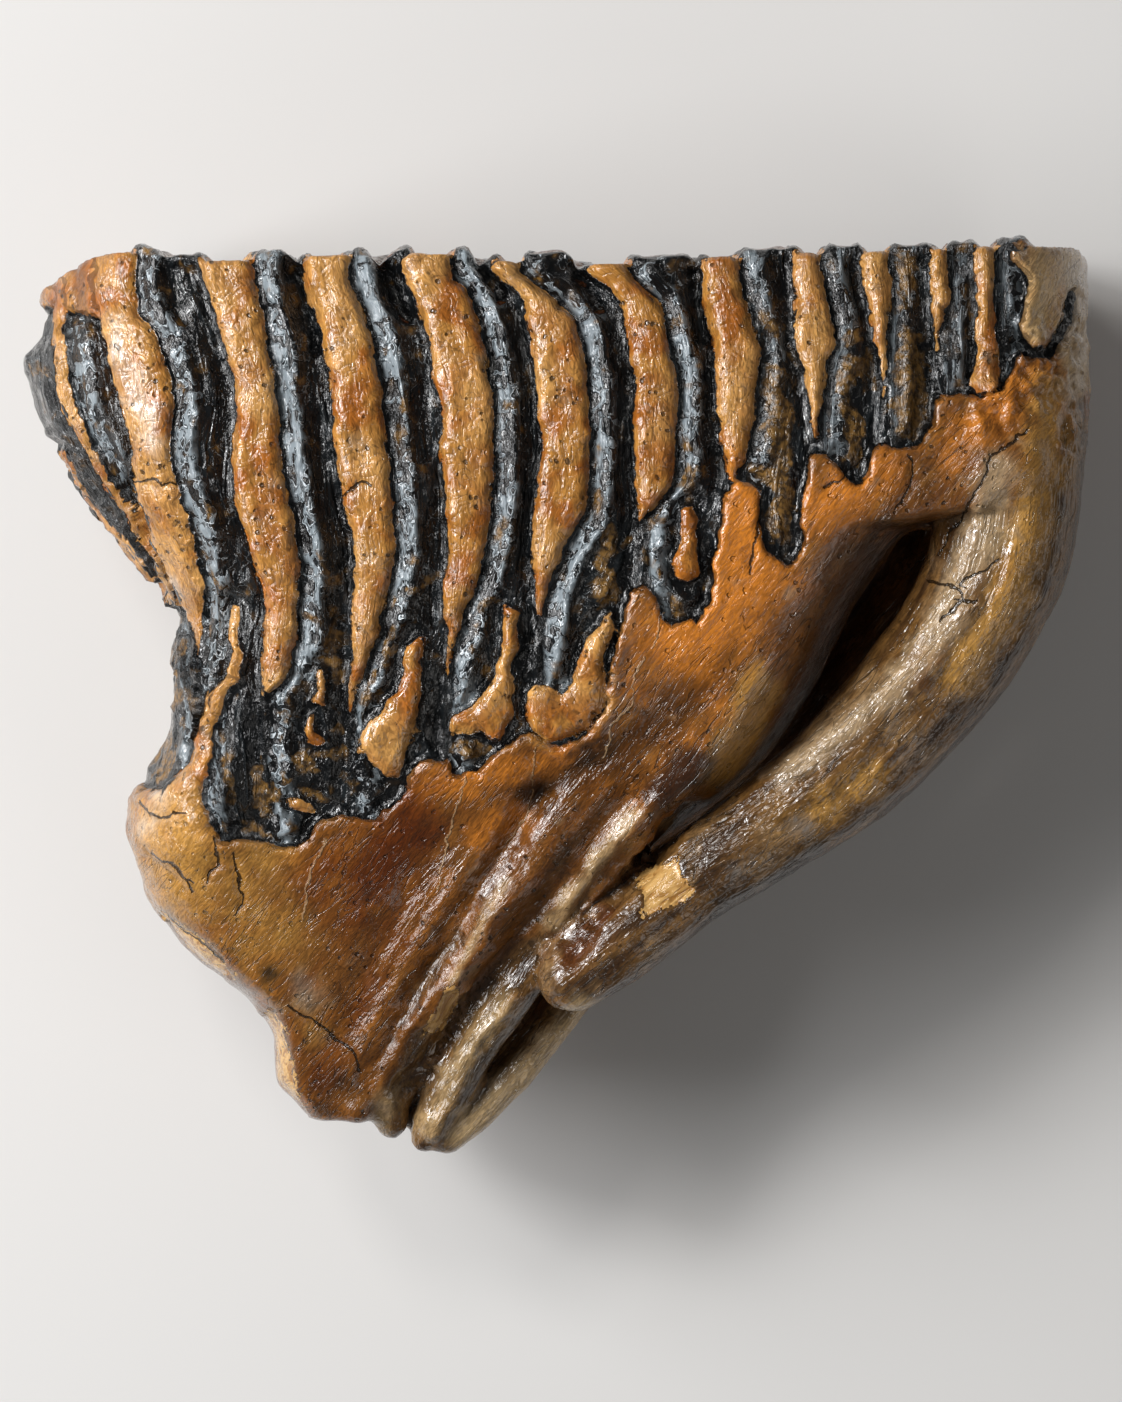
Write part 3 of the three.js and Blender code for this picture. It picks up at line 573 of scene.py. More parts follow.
def along_root(points, line, radius):
    """For points near a root: distance to its surface, and where they lie on it."""
    nearest = np.full(len(points), FAR)
    place = np.zeros((len(points), 3))
    start = 0.0
    for a, b, ra, rb in zip(line, line[1:], radius, radius[1:]):
        step = b - a
        length = np.linalg.norm(step)
        t = np.clip((points - a) @ step / length**2, 0, 1)
        offset = points - a - t[:, None] * step
        away = np.linalg.norm(offset, axis=1) - ra - t * (rb - ra)
        across = np.array([step[1], -step[0], 0]) / math.hypot(step[0], step[1])
        closer = away < nearest
        nearest[closer] = away[closer]
        found = np.stack([offset @ across, start + t * length, offset[:, 2]], 1)
        place[closer] = found[closer]
        start += length
    return nearest, place


def root_blend(y):
    """Roots run into the crown softly, and stand free lower down."""
    return ROOT_BLEND + CROWN_BLEND * smooth((y - CROWN_BLEND_FROM) / CROWN_BLEND_OVER)


def add_root(field, axes, points):
    """Joins a root to the field, inside the box that it can reach."""
    line, radius = centreline(points)
    margin = radius.max() + ROOT_MARGIN
    spans = []
    for axis, column in zip(axes, line.T):
        low, high = np.searchsorted(axis, (column.min() - margin, column.max() + margin))
        spans.append(slice(low, high))
    box = [axis[span] for axis, span in zip(axes, spans)]
    cells = np.stack(np.meshgrid(*box, indexing="ij"), -1)
    shape = cells.shape[:3]
    away = along_root(cells.reshape(-1, 3), line, radius)[0].reshape(shape)
    width = root_blend(box[1])[None, :, None]
    field[tuple(spans)] = join(field[tuple(spans)], away.astype(np.float32), width)


def make_form():
    """Points and quads of the smooth form."""
    axes = [np.arange(*REACH[axis], VOXEL) for axis in "xyz"]
    field = body_field(*axes)
    for root in ROOTS:
        add_root(field, axes, root)
    field = np.maximum(field, -axes[2][None, None, :])
    grid = openvdb.FloatGrid(FIELD_BAND)
    grid.copyFromArray(np.clip(field, -FIELD_BAND, FIELD_BAND).astype(np.float32))
    points, quads = grid.convertToQuads(0.0)
    start = np.array([axis[0] for axis in axes])
    return start + np.asarray(points, float) * VOXEL, quads


# === What each place on the surface is ===
ENAMEL_WALL = 1.7
ROOT_REACH = 2.4  # how far off the surface of a separate root its looks still show
LEFT_LUMP = (-59, 4)  # left of and below this, cement runs on into the roots
# Across and along the folds of the fused roots, as columns.
ALONG_FOLDS = np.array([(0.772, 0.635, 0), (-0.635, 0.772, 0), (0, 0, 1)])
# Offsets that keep the grain of the folds and of each root apart.
FOLDS_GRAIN, ROOT_GRAIN = 900, 300
ROOT_FADE = 1.8  # over this depth a separate root's looks take over
CALM_REACH, CALM_BETWEEN_ROOTS = 1.2, 1.6  # how far from a jump the grain fades
LANE_SPAN = (-100, 100)
LEAST_LANE = 0.05
EDGE_WOBBLE = ((8, 0.7), (2.8, 0.7))  # wave size and reach of the uneven edges of the enamel
WOBBLE_SEEDS = (5.3, 41.9)
UNDER_SHIFT, UNDER_SHIFT_SIZE, UNDER_SHIFT_SEEDS = 4.0, (30, 34, 30), (3.1, 17.7)
UNDER_FROM, UNDER_OVER = 6, 24  # height above the middle plane where the shift starts
PLATE_BEND, PLATE_BEND_SIZE = 2.2, (50, 60, 26)  # of the plates across the chewing surface
RIM_HEIGHT = 79.5  # the chewing surface is marked as the broad side is at this height
TOP_TILT, TOP_TILT_OVER = 0.45, 0.3  # the surface faces up to chew where its normal's Y is more
TOP_FROM, TOP_OVER = 66, 6
NO_BAND = 30.0


def make_lanes():
    """Lines down the crown along the plates and bands, as (x at a height, height of their tip)."""
    lanes = [(left_side, PLATE_TIPS[0])]
    edges = []
    for i, band in enumerate(CEMENT_BANDS):
        tip = band[-1][0]
        left = profile([(y, a) for y, a, _ in band])
        right = profile([(y, b) for y, _, b in band])
        edges.append((left, right, tip))
        lanes.append((left, min(tip, PLATE_TIPS[i])))
        lanes.append((right, min(tip, PLATE_TIPS[i + 1])))
    lanes.append((right_side, PLATE_TIPS[-1]))
    return lanes, edges


lanes, band_edges = make_lanes()


def straightened(x, y):
    """x moved so that lines along the plates, and along the fan of roots below, run straight."""
    foot = np.linspace(left_side(FOOT), right_side(FOOT), len(lanes))
    rows = []
    for (lane, tip), foot_x in zip(lanes, foot):
        t = np.clip((tip - y) / (tip - FOOT), 0, 1)
        top = lane(np.maximum(y, tip))
        rows.append(np.where(y >= tip, top, top + (foot_x - top) * t))
    rows[0], rows[-1] = left_side(y), right_side(y)
    table = np.maximum.accumulate(np.stack(rows), axis=0)
    table += LEAST_LANE * np.arange(len(lanes))[:, None]
    level = np.linspace(*LANE_SPAN, len(lanes))
    i = np.clip((table < x).sum(0) - 1, 0, len(lanes) - 2)
    columns = np.arange(len(x))
    low, high = table[i, columns], table[i + 1, columns]
    return level[i] + (level[i + 1] - level[i]) * (x - low) / (high - low)


def as_photographed(points):
    """Where the camera sees a point, on the middle plane, made a little uneven. The side underneath
    is the mirror image, with the markings shifted so that the two sides differ."""
    depth = points[:, 2] - MIDDLE
    scale = CAMERA_HEIGHT / (CAMERA_HEIGHT - np.abs(depth))
    below = smooth((UNDER_FROM - depth) / UNDER_OVER)
    shift = flat_ripple(points, UNDER_SHIFT_SIZE, UNDER_SHIFT_SEEDS)
    seen = points[:, :2] * scale[:, None] + UNDER_SHIFT * below[:, None] * shift
    for size, reach in EDGE_WOBBLE:
        seen += reach * flat_ripple(points, size, WOBBLE_SEEDS)
    return seen.T


def enamel_edge(x, y):
    """Distance into the enamel and into a band, and to the bands to the left and to the right."""
    band_depth = np.full(np.shape(x), -FAR)
    to_left, to_right = np.full(np.shape(x), NO_BAND), np.full(np.shape(x), NO_BAND)
    for left, right, tip in band_edges:
        above = np.maximum(y, tip)
        from_left, from_right = x - left(above), right(above) - x
        to_left = np.where(from_right < 0, np.minimum(to_left, -from_right), to_left)
        to_right = np.where(from_left < 0, np.minimum(to_right, -from_left), to_right)
        depth = np.minimum(from_left, from_right)
        depth = np.where(y < tip, -np.hypot(np.minimum(depth, 0), tip - y), depth)
        band_depth = np.maximum(band_depth, depth)
    for patch in CEMENT_PATCHES:
        band_depth = np.maximum(band_depth, inside(patch, x, y))
    cement_line = CEMENT_LINE_HALF_WIDTH - line_offset(LEFT_CEMENT_LINE, x, y)[0]
    band_depth = np.maximum(band_depth, cement_line)
    edge = np.minimum(inside(ENAMEL_AREA, x, y), -band_depth)
    loop = LOOP_HALF_WIDTH - line_offset(FIRST_PLATE_LOOP, x, y)[0]
    return np.maximum(edge, loop), band_depth, to_left, to_right


def depth_from_sides(points):
    """How far the broad sides are from points of the chewing surface."""
    x = points[:, 0]
    height = nominal_height(x, points[:, 1])
    depth = points[:, 2] - MIDDLE
    half = np.where(depth < 0, half_depth(x, height, True), half_depth(x, height, False))
    inwards_left = np.clip((x - left_side(height)) / left_rounding(height), 0, 1)
    inwards_right = np.clip((right_side(height) - x) / right_rounding(height), 0, 1)
    half = half * np.sqrt(1 - (1 - inwards_left) ** 2) * np.sqrt(1 - (1 - inwards_right) ** 2)
    return np.maximum(half - np.abs(depth), 0)


def grain_of(points, below_plates):
    """Places across and along the plates, the folds or a root, for textures that follow them, and
    how much of a separate root each point is. `calm` is 0 where the grain jumps."""
    grain = np.stack([straightened(points[:, 0], points[:, 1]), points[:, 1], points[:, 2]], 1)
    grain[below_plates] = points[below_plates] @ ALONG_FOLDS + FOLDS_GRAIN
    lines = grain.copy()
    nearest, second = np.full(len(points), FAR), np.full(len(points), FAR)
    for i, root in enumerate(ROOTS):
        away, place = along_root(points, *centreline(root))
        closer = (away < nearest) & (away < ROOT_REACH)
        grain[closer] = place[closer] + ROOT_GRAIN * (i + 1)
        second = np.minimum(second, np.maximum(nearest, away))
        nearest = np.minimum(nearest, away)
    calm = smooth(np.abs(nearest - ROOT_REACH) / CALM_REACH)
    between = smooth((second - nearest) / CALM_BETWEEN_ROOTS)
    calm = calm * np.where(nearest < ROOT_REACH, between, 1)
    return grain, lines, calm, smooth((ROOT_REACH - nearest) / ROOT_FADE)


def describe(points, normals):
    """Everything that relief and colour need to know about each point."""
    x, y = as_photographed(points)
    top = smooth((normals[:, 1] - TOP_TILT) / TOP_TILT_OVER)
    top = top * smooth((points[:, 1] - TOP_FROM) / TOP_OVER)
    bend = PLATE_BEND * ripple(points, PLATE_BEND_SIZE, 9.4, 2) * top
    marked_y = np.where(top > 0, np.minimum(y, RIM_HEIGHT), y)
    edge, band_depth, to_left, to_right = enamel_edge(x + bend, marked_y)
    left_lump = (x < LEFT_LUMP[0]) & (y < LEFT_LUMP[1])
    below_plates = (edge < 0) & ((band_depth < 0) | left_lump)
    grain, lines, calm, root = grain_of(points, below_plates)
    return SimpleNamespace(
        x=x, y=y, top=top, edge=edge, band_depth=band_depth, to_left=to_left, to_right=to_right,
        depth=depth_from_sides(points) * top, root=root, grain=grain, lines=lines, calm=calm)


# === Relief ===
# Relief of the broad sides: cement against its edge, then the enamel of a plate, with a ridge that
# follows the cement on its left and a deep groove next to the cement on its right.
RELIEF_BENDS = 1.8  # above this height the relief flattens out, over RELIEF_GIVES
RELIEF_GIVES = 0.9
CEMENT_CREST = profile([(-5, 1.2), (-2.6, 1.35), (-1.2, 1.05), (-0.2, 0.2), (0, -0.1)])
PLATE_RIDGE = profile([(0, -0.1), (0.6, -0.7), (1.1, -0.4), (2.6, 0.65), (4.1, 1.7), (4.6, 1.9),
                       (5.1, 1.3), (5.8, 0), (9, 0)])
PLATE_GROOVE = profile([(0, -0.3), (0.8, -1.7), (2.4, -1.5), (3.8, -0.6), (5.5, 0)])
PLATE_FLANK = -0.5
OTHER_EDGE = profile([(0, -0.2), (0.9, -1.5), (2.2, -1.1), (4, -0.1), (6, -0.4), (9, -0.5)])
BARE_CEMENT_RELIEF = 0.5
CHIP_RELIEF = -0.8
CRACK_RELIEF = -0.5
CRACK_HALF_WIDTH = 0.5
NOTCH_RELIEF = -3.2
NOTCHES = [
    ([(-34.5, 88), (-32.3, 80.7), (-28.4, 71.5)], 1.8, 1.0),
    ([(-15, 88), (-14.1, 80.7), (-11.3, 75.5)], 1.5, 0.9),
    ([(3.6, 88), (4.9, 79.9), (8.1, 73.6)], 1.6, 1.0),
    ([(-49, 88), (-48.6, 80.3), (-44.8, 66.6)], 1.7, 0.8),
    ([(-73.5, 88), (-72, 78), (-71, 66)], 1.6, 0.5),
    ([(25.5, 88), (26.6, 78), (28.6, 68)], 1.3, 0.6),
]
# Relief of the chewing surface: cement and dentine lie low, the wall of enamel stands up.
WORN_RELIEF = profile([(-5, -2.1), (-1.6, -1.5), (0, 0.1), (0.8, 0.7), (1.5, 0.6), (2.4, 0.2),
                       (4, 0.3)])


def enamel_wrinkles(points, grain):
    """Crinkled ridges that run down the plates."""
    long = 0.7 - 2 * np.abs(ripple(grain, (4.2, 26, 14), 2.2, 2))
    short = ripple(grain, (2.4, 9, 6), 8.8, 2)
    return 0.6 * long + 0.4 * short + 0.25 * ripple(points, 3.0, 4.4, 2)


def ridge_share(x):
    """How far the ridge of a plate is raised: less on the narrow plates towards +X."""
    return 1 - 0.5 * smooth((x - 28) / 14)


def across_plates(about, bare):
    """Crests of cement, ridges and grooves of the plates, and the broad folds below them."""
    edge = about.edge
    nearest = np.minimum(about.to_left, about.to_right)
    ridge = PLATE_RIDGE(about.to_left) * ridge_share(about.x)
    plate = PLATE_FLANK + ridge + PLATE_GROOVE(about.to_right)
    plate += (OTHER_EDGE(edge) - plate) * smooth((nearest - edge - 0.2) / 1.5)
    across = np.where(edge < 0, CEMENT_CREST(edge), plate)
    across += (BARE_CEMENT_RELIEF - across) * bare * smooth(-edge / 2.5)
    return across + folded(FOLDS, about.x, about.y)


def lumps_and_streaks(points, about, bare):
    """The uneven skin of cement and roots."""
    lumps = 0.5 * ripple(points, 8, 1.7, 2) + 0.28 * ripple(points, 3.4, 6.1, 2)
    streaked = 0.3 * ripple(points, 9, 1.7, 2) + 0.2 * ripple(about.grain, (3, 16, 8), 5.5, 2)
    skin = lumps + (streaked - lumps) * bare
    root = 0.25 * ripple(about.grain, (3.4, 30, 3.4), 3.3) + 0.3 * ripple(points, 7, 7.7, 2)
    return skin + (root - skin) * about.root


def side_relief(points, normals, about, above):
    """Relief of everything but the chewing surface."""
    x, y = about.x, about.y
    bare = smooth((-1 - about.band_depth) / 3) * (about.edge < 0)
    skin = lumps_and_streaks(points, about, bare)
    sides = across_plates(about, bare) * (1 - about.root) + skin
    sides += (enamel_wrinkles(points, about.grain) - skin) * smooth((about.edge + 0.2) / 0.9)
    chips = sum(smooth((inside(chip, x, y) + 0.2) / 0.7) for chip in CHIPS)
    cracks = folded([(1, CRACK_HALF_WIDTH, crack) for crack in CRACKS], x, y)
    sides += (CHIP_RELIEF * np.minimum(chips, 1) + CRACK_RELIEF * cracks) * above
    facing_up = smooth(normals[:, 2] / 0.4) * smooth((points[:, 2] - MIDDLE - 1) / 7)
    sides += folded(UPPER_FOLDS, x, y) * facing_up
    return sides + strokes(KNOBBLY, x, y) * above * ripple(points, 3.2, 12.1, 3)


def relief(points, normals, about):
    """Height of the relief at each point, along the surface's normal."""
    above = smooth((points[:, 2] - MIDDLE + 4) / 8)
    sides = side_relief(points, normals, about, above)
    worn = np.where(about.edge > 0, np.minimum(about.edge, about.depth), about.edge)
    worn = WORN_RELIEF(worn) + 0.35 * ripple(points, 2.6, 3.9, 2) + 0.5 * ripple(points, 11, 2.8, 2)
    notches = NOTCH_RELIEF * strokes(NOTCHES, about.x, about.y) * above
    height = sides * (1 - about.top) + worn * about.top + notches
    crest = RELIEF_BENDS + RELIEF_GIVES * np.tanh((height - RELIEF_BENDS) / RELIEF_GIVES)
    return np.where(height > RELIEF_BENDS, crest, height)


# === The tooth's mesh ===
MOST_TRIANGLES = 190_000
CENTRE = np.array([*SOLID_CENTRE, 0])
TINT_UNDERNEATH = 0.35  # share of a tint's strength on the side underneath
MOST_EDGE, MOST_CHIP, MOST_LINE = 20, 5, 9  # distances beyond these aren't told apart
RIDGE_FROM, RIDGE_TO, RIDGE_FADE = 0.8, 5.2, 0.8  # from the cement on the left of a plate


def add_object(name, data):
    piece = bpy.data.objects.new(name, data)
    bpy.context.scene.collection.objects.link(piece)
    return piece


def mesh_from(name, points, faces):
    mesh = bpy.data.meshes.new(name)
    mesh.from_pydata(points.tolist(), [], faces.tolist())
    mesh.update()
    mesh.shade_smooth()
    return mesh


def read_vectors(items, key):
    values = np.empty(len(items) * 3)
    items.foreach_get(key, values)
    return values.reshape(-1, 3)


def to_row(points):
    """From this script's millimetres to metres in the row frame."""
    return (points - CENTRE) * MM


def from_row(points):
    return points / MM + CENTRE


def thinned(mesh, most):
    """The mesh with as few triangles as asked, fewest where it is smoothest."""
    piece = add_object(mesh.name, mesh)
    triangles = sum(len(p.vertices) - 2 for p in mesh.polygons)
    modifier = piece.modifiers.new("thin", "DECIMATE")
    modifier.ratio = min(1, most / triangles)
    modifier.use_collapse_triangulate = True
    graph = bpy.context.evaluated_depsgraph_get()
    result = bpy.data.meshes.new_from_object(piece.evaluated_get(graph))
    bpy.data.objects.remove(piece)
    result.name = mesh.name
    result.shade_smooth()
    return result


def write_attribute(mesh, name, values):
    kind, field = ("FLOAT_VECTOR", "vector") if values.ndim == 2 else ("FLOAT", "value")
    attribute = mesh.attributes.new(name, kind, "POINT")
    attribute.data.foreach_set(field, np.ascontiguousarray(values, np.float32).ravel())


def mark(mesh):
    """Writes what each point is, and where light and shade are painted, as attributes, for the
    material.
    """
    points = from_row(read_vectors(mesh.vertices, "co"))
    about = describe(points, read_vectors(mesh.vertices, "normal"))
    x, y = about.x, about.y
    above = smooth((points[:, 2] - MIDDLE + 6) / 12)
    marks = {name: getattr(about, name) for name in ("grain", "lines", "calm", "root", "depth")}
    marks["edge"] = np.clip(about.edge, -MOST_EDGE, MOST_EDGE)
    marks["band_depth"] = np.clip(about.band_depth, -MOST_EDGE, MOST_EDGE)
    # The ridge of each plate, where the material paints sheen and highlights.
    ridge = smooth((about.to_left - RIDGE_FROM) / RIDGE_FADE)
    ridge = ridge * smooth((RIDGE_TO - about.to_left) / RIDGE_FADE)
    marks["ridge"] = ridge * ridge_share(x) * smooth((about.to_right - 1) / 1.5)
    chips = np.max([inside(chip, x, y) for chip in CHIPS], 0)
    marks["chip"] = np.clip(chips, -MOST_CHIP, MOST_CHIP) * above - MOST_CHIP * (1 - above)
    for name, lines in (("crack", CRACKS), ("vein", VEINS)):
        near, side = nearest_line(lines, x, y)
        marks[name + "_near"] = np.minimum(near, MOST_LINE) + MOST_LINE * (1 - above)
        marks[name + "_side"] = np.clip(side, -MOST_LINE, MOST_LINE)
    marks["stain"] = strokes(ENAMEL_STAINS, x, y)
    shown = TINT_UNDERNEATH + (1 - TINT_UNDERNEATH) * above
    for name, _, _, lines in TINTS:
        marks[name] = strokes(lines, x, y) * shown
    marks["clouds"] = ripple(points, 15, 21.3)
    marks["patches"] = ripple(points, 5, 33.1, 4)
    marks["mottle"] = ripple(points, 3.6, 52.4, 4)
    marks["strands"] = ripple(about.grain, (2.6, 26, 2.6), 71.9, 4)
    for name, values in marks.items():
        write_attribute(mesh, name, values)


def make_tooth():
    points, quads = make_form()
    smooth_form = mesh_from("fossil_tooth", points, quads)
    normals = read_vectors(smooth_form.vertices, "normal")
    points += normals * relief(points, normals, describe(points, normals))[:, None]
    points[:, 2] = np.maximum(points[:, 2], 0)
    mesh = thinned(mesh_from("fossil_tooth", to_row(points), quads), MOST_TRIANGLES)
    thin_points = read_vectors(mesh.vertices, "co")
    thin_points[:, 2] = np.maximum(thin_points[:, 2], 0)
    mesh.vertices.foreach_set("co", thin_points.ravel())
    mesh.update()
    mark(mesh)
    return add_object("fossil_tooth", mesh)


# === Materials ===


class Value:
    """A number or vector that a material works out, with arithmetic."""

    def __init__(self, graph, socket):
        self.graph = graph
        self.socket = socket

    def __add__(self, other):
        return self.graph.math("ADD", self, other)

    def __sub__(self, other):
        return self.graph.math("SUBTRACT", self, other)

    def __mul__(self, other):
        return self.graph.math("MULTIPLY", self, other)

    __rmul__ = __mul__

    def __abs__(self):
        return self.graph.math("ABSOLUTE", self, 0.0)


class Graph:
    """Short calls for building a material's nodes."""

    def __init__(self, name):
        self.material = bpy.data.materials.new(name)
        self.material.use_nodes = True
        self.tree = self.material.node_tree
        self.tree.nodes.clear()

    def add(self, kind, values, output=0, **settings):
        """One output of a new node, whose inputs are fed by name or number."""
        node = self.tree.nodes.new(kind)
        for name, value in settings.items():
            setattr(node, name, value)
        for name, value in values.items():
            if isinstance(value, Value):
                self.tree.links.new(value.socket, node.inputs[name])
            else:
                node.inputs[name].default_value = value
        return Value(self, node.outputs[output])

    def surface(self, values):
        """The material, finished with one Principled shader."""
        shader = self.add("ShaderNodeBsdfPrincipled", values)
        out = self.tree.nodes.new("ShaderNodeOutputMaterial")
        self.tree.links.new(shader.socket, out.inputs["Surface"])
        return self.material

    def attribute(self, name, output="Fac"):
        """What mark() wrote at each point."""
        return self.add("ShaderNodeAttribute", {}, output, attribute_name=name)

    def math(self, operation, a, b):
        return self.add("ShaderNodeMath", {0: a, 1: b}, operation=operation)

    def step(self, value, low, high, to_low=0.0, to_high=1.0):
        """A smooth step of value from low to high, or down where low is above high."""
        if low > high:
            low, high, to_low, to_high = high, low, to_high, to_low
        values = {"Value": value, "From Min": low, "From Max": high,
                  "To Min": to_low, "To Max": to_high}
        return self.add("ShaderNodeMapRange", values, interpolation_type="SMOOTHSTEP")

    def colour(self, share, a, b):
        """Two colours mixed; share is how much of the second shows."""
        a, b = (c if isinstance(c, Value) else (*c, 1) for c in (a, b))
        return self.add("ShaderNodeMix", {0: share, 6: a, 7: b}, 2, data_type="RGBA")

    def number(self, share, a, b):
        """Two numbers mixed in the same way."""
        return self.add("ShaderNodeMix", {0: share, 2: a, 3: b}, data_type="FLOAT")

    def layered(self, share, under, over):
        """Two looks, each a colour and a height, mixed."""
        return self.colour(share, under[0], over[0]), self.number(share, under[1], over[1])

    def scaled(self, colour, factor):
        return self.add("ShaderNodeVectorMath", {0: colour, "Scale": factor}, operation="SCALE")

    def texture(self, kind, vector, size, values, output, **settings):
        """A texture whose waves have the given size in each direction."""
        sizes = size if isinstance(size, tuple) else (size,) * 3
        factors = tuple(1 / s for s in sizes)
        place = self.add("ShaderNodeVectorMath", {0: vector, 1: factors}, operation="MULTIPLY")
        return self.add(kind, {"Vector": place, "Scale": 1.0, **values}, output, **settings)

    def noise(self, vector, size, detail=3.0, rough=0.55, twist=0.0, output="Fac"):
        values = {"Detail": detail, "Roughness": rough, "Distortion": twist}
        return self.texture("ShaderNodeTexNoise", vector, size, values, output)

    def cells(self, vector, size):
        return self.texture("ShaderNodeTexVoronoi", vector, size, {}, "Distance", feature="F1")

    def warped(self, vector, size, reach):
        """The vector moved about by noise, for uneven lines."""
        shift = self.noise(vector, size, rough=0.5, output="Color")
        values = {0: shift, 1: (reach,) * 3, 2: vector}
        return self.add("ShaderNodeVectorMath", values, operation="MULTIPLY_ADD")


CEMENT_LIGHT = (0.58, 0.31, 0.095)
CEMENT_MID = (0.43, 0.195, 0.04)
CEMENT_DEEP = (0.32, 0.1, 0.012)
APRON_ORANGE = (0.4, 0.135, 0.016)
APRON_BROWN = (0.15, 0.055, 0.01)
APRON_OCHRE = (0.29, 0.13, 0.026)
APRON_DARK = (0.12, 0.036, 0.006)
ROOT_BROWN = (0.16, 0.078, 0.022)
ROOT_DARK = (0.045, 0.021, 0.008)
ROOT_PALE = (0.28, 0.165, 0.07)
ENAMEL_BLACK = (0.003, 0.0032, 0.0035)
ENAMEL_SLATE = (0.012, 0.015, 0.017)
# Ridge facets are partly enamel tone, partly painted sheen; crests and glint lines are painted
# highlights.
ENAMEL_RIDGE_SHEEN = (0.048, 0.06, 0.067)
ENAMEL_PAINTED_CREST_GLINT = (0.25, 0.29, 0.315)
ENAMEL_PAINTED_GLINT_LINE = (0.6, 0.66, 0.7)
ENAMEL_BROWN = (0.04, 0.022, 0.008)
ENAMEL_OCHRE = (0.2, 0.105, 0.026)
DENTINE = (0.12, 0.036, 0.01)
CHIP_PALE = (0.56, 0.33, 0.11)
CREVICE = (0.012, 0.006, 0.002)
VEIN_PALE = (0.42, 0.27, 0.14)
FINE_SHADE = (0.74, 1.2)  # darkest and lightest of the fine strokes of colour
ROUGHNESS = {"cement": 0.38, "root": 0.3, "enamel": 0.2, "stain": 0.36, "chip": 0.6}
BASE_SPECULAR = 0.08
COAT_WEIGHT = 1.0
COAT_ROUGHNESS = 0.1
CRACK_LINE, VEIN_LINE = 0.3, 0.26  # half widths
FLOOR_COLOURS = (0.66, 0.65, 0.635), (0.7, 0.69, 0.675)
FLOOR_ROUGHNESS, FLOOR_SPECULAR = 0.85, 0.2
FLOOR_CLOUD = 0.9  # metres
# Sizes of the fine patterns: across the grain, along it and up.
FIBRES = (1.1, 5.0, 2.2)
STREAKS = (2.0, 14.0, 8.0)
STROKES = (0.65, 2.8, 1.4)
FINE, CRINKLE, CELLS = 1.2, 2.5, 2.1
WARP_SIZE, WARP_REACH = 2.4, 1.1
MARKS = ("calm", "root", "depth", "band_depth", "ridge", "chip", "stain", "root_ochre", "clouds",
         "patches", "mottle", "strands")


def make_textures(g):
    """The marks on the mesh, and the fine patterns, as values."""
    t = SimpleNamespace(**{name: g.attribute(name) for name in MARKS})
    place = g.add("ShaderNodeTexCoord", {}, "Object")
    values = {0: place, 1: (1 / MM,) * 3}
    position = g.add("ShaderNodeVectorMath", values, operation="MULTIPLY")
    grain, lines = g.attribute("grain", "Vector"), g.attribute("lines", "Vector")
    uneven = g.warped(position, WARP_SIZE, WARP_REACH)
    t.height = g.add("ShaderNodeSeparateXYZ", {0: position}, 1)
    t.fine = g.noise(position, FINE, 2)
    t.fibres = g.number(t.calm, 0.5, g.noise(grain, FIBRES, 2, 0.55, 1.0))
    t.streaks = g.number(t.calm, 0.5, g.noise(grain, STREAKS, 2, 0.5, 0.6))
    t.strokes = g.noise(lines, STROKES, 2, 0.6, 1.6)
    t.crinkle = g.noise(uneven, CRINKLE, 1, 0.5, 0.8)
    t.cells = g.cells(uneven, CELLS)
    t.leather = abs(t.crinkle - 0.5)
    t.seams = abs(t.streaks - 0.5) - 0.1 * (t.calm - 1.0)
    t.wander = t.fine - 0.5
    t.edge = g.attribute("edge") + t.wander
    return t


def line_mask(g, name, wander, half_width):
    """A thin wandering line where the attributes NAME_side and NAME_near say."""
    thin = g.step(abs(g.attribute(name + "_side") + wander), half_width, half_width * 0.35)
    return thin * g.step(g.attribute(name + "_near"), 1.1, 0.8)


def cement_look(g, t):
    """Colour and height of cement, on the bands and below them."""
    band = g.colour(g.step(t.patches, -0.35, 0.3), CEMENT_DEEP, CEMENT_MID)
    band = g.colour(0.75 * g.step(t.clouds, -0.25, 0.45), band, CEMENT_LIGHT)
    apron = g.colour(g.step(t.clouds, -0.4, 0.4), APRON_BROWN, APRON_ORANGE)
    apron = g.colour(0.5 * g.step(t.patches, -0.1, 0.5), apron, APRON_OCHRE)
    apron = g.colour(0.6 * g.step(t.height, 15.0, -40.0), apron, APRON_BROWN)
    apron = g.colour(0.5 * g.step(t.streaks, 0.56, 0.36), apron, APRON_DARK)
    apron = g.colour(0.45 * g.step(t.mottle, 0.1, 0.5), apron, APRON_BROWN)
    bare = g.step(t.band_depth, -0.6, -3.5)
    colour = g.colour(bare, band, apron)
    colour = g.colour(0.35 * g.step(t.fibres, 0.6, 0.4), colour, APRON_BROWN)
    pore = g.step(t.cells + 0.5 * t.fine, 0.5, 0.36) * g.step(t.mottle, -0.1, 0.2)
    colour = g.colour(0.8 * pore, colour, CREVICE)
    crease = g.step(t.leather, 0.03, 0.004) * g.step(t.mottle, -0.2, 0.3)
    colour = g.colour(0.5 * crease, colour, CREVICE)
    seams = g.step(t.seams, 0.022, 0.006) * bare * g.step(t.clouds, -0.2, 0.1)
    colour = g.colour(0.55 * seams, colour, CREVICE)
    height = 0.25 * t.fibres + t.leather * g.number(bare, 0.6, 0.2)
    return colour, height + 0.11 * t.strokes - 0.35 * pore - 0.2 * seams


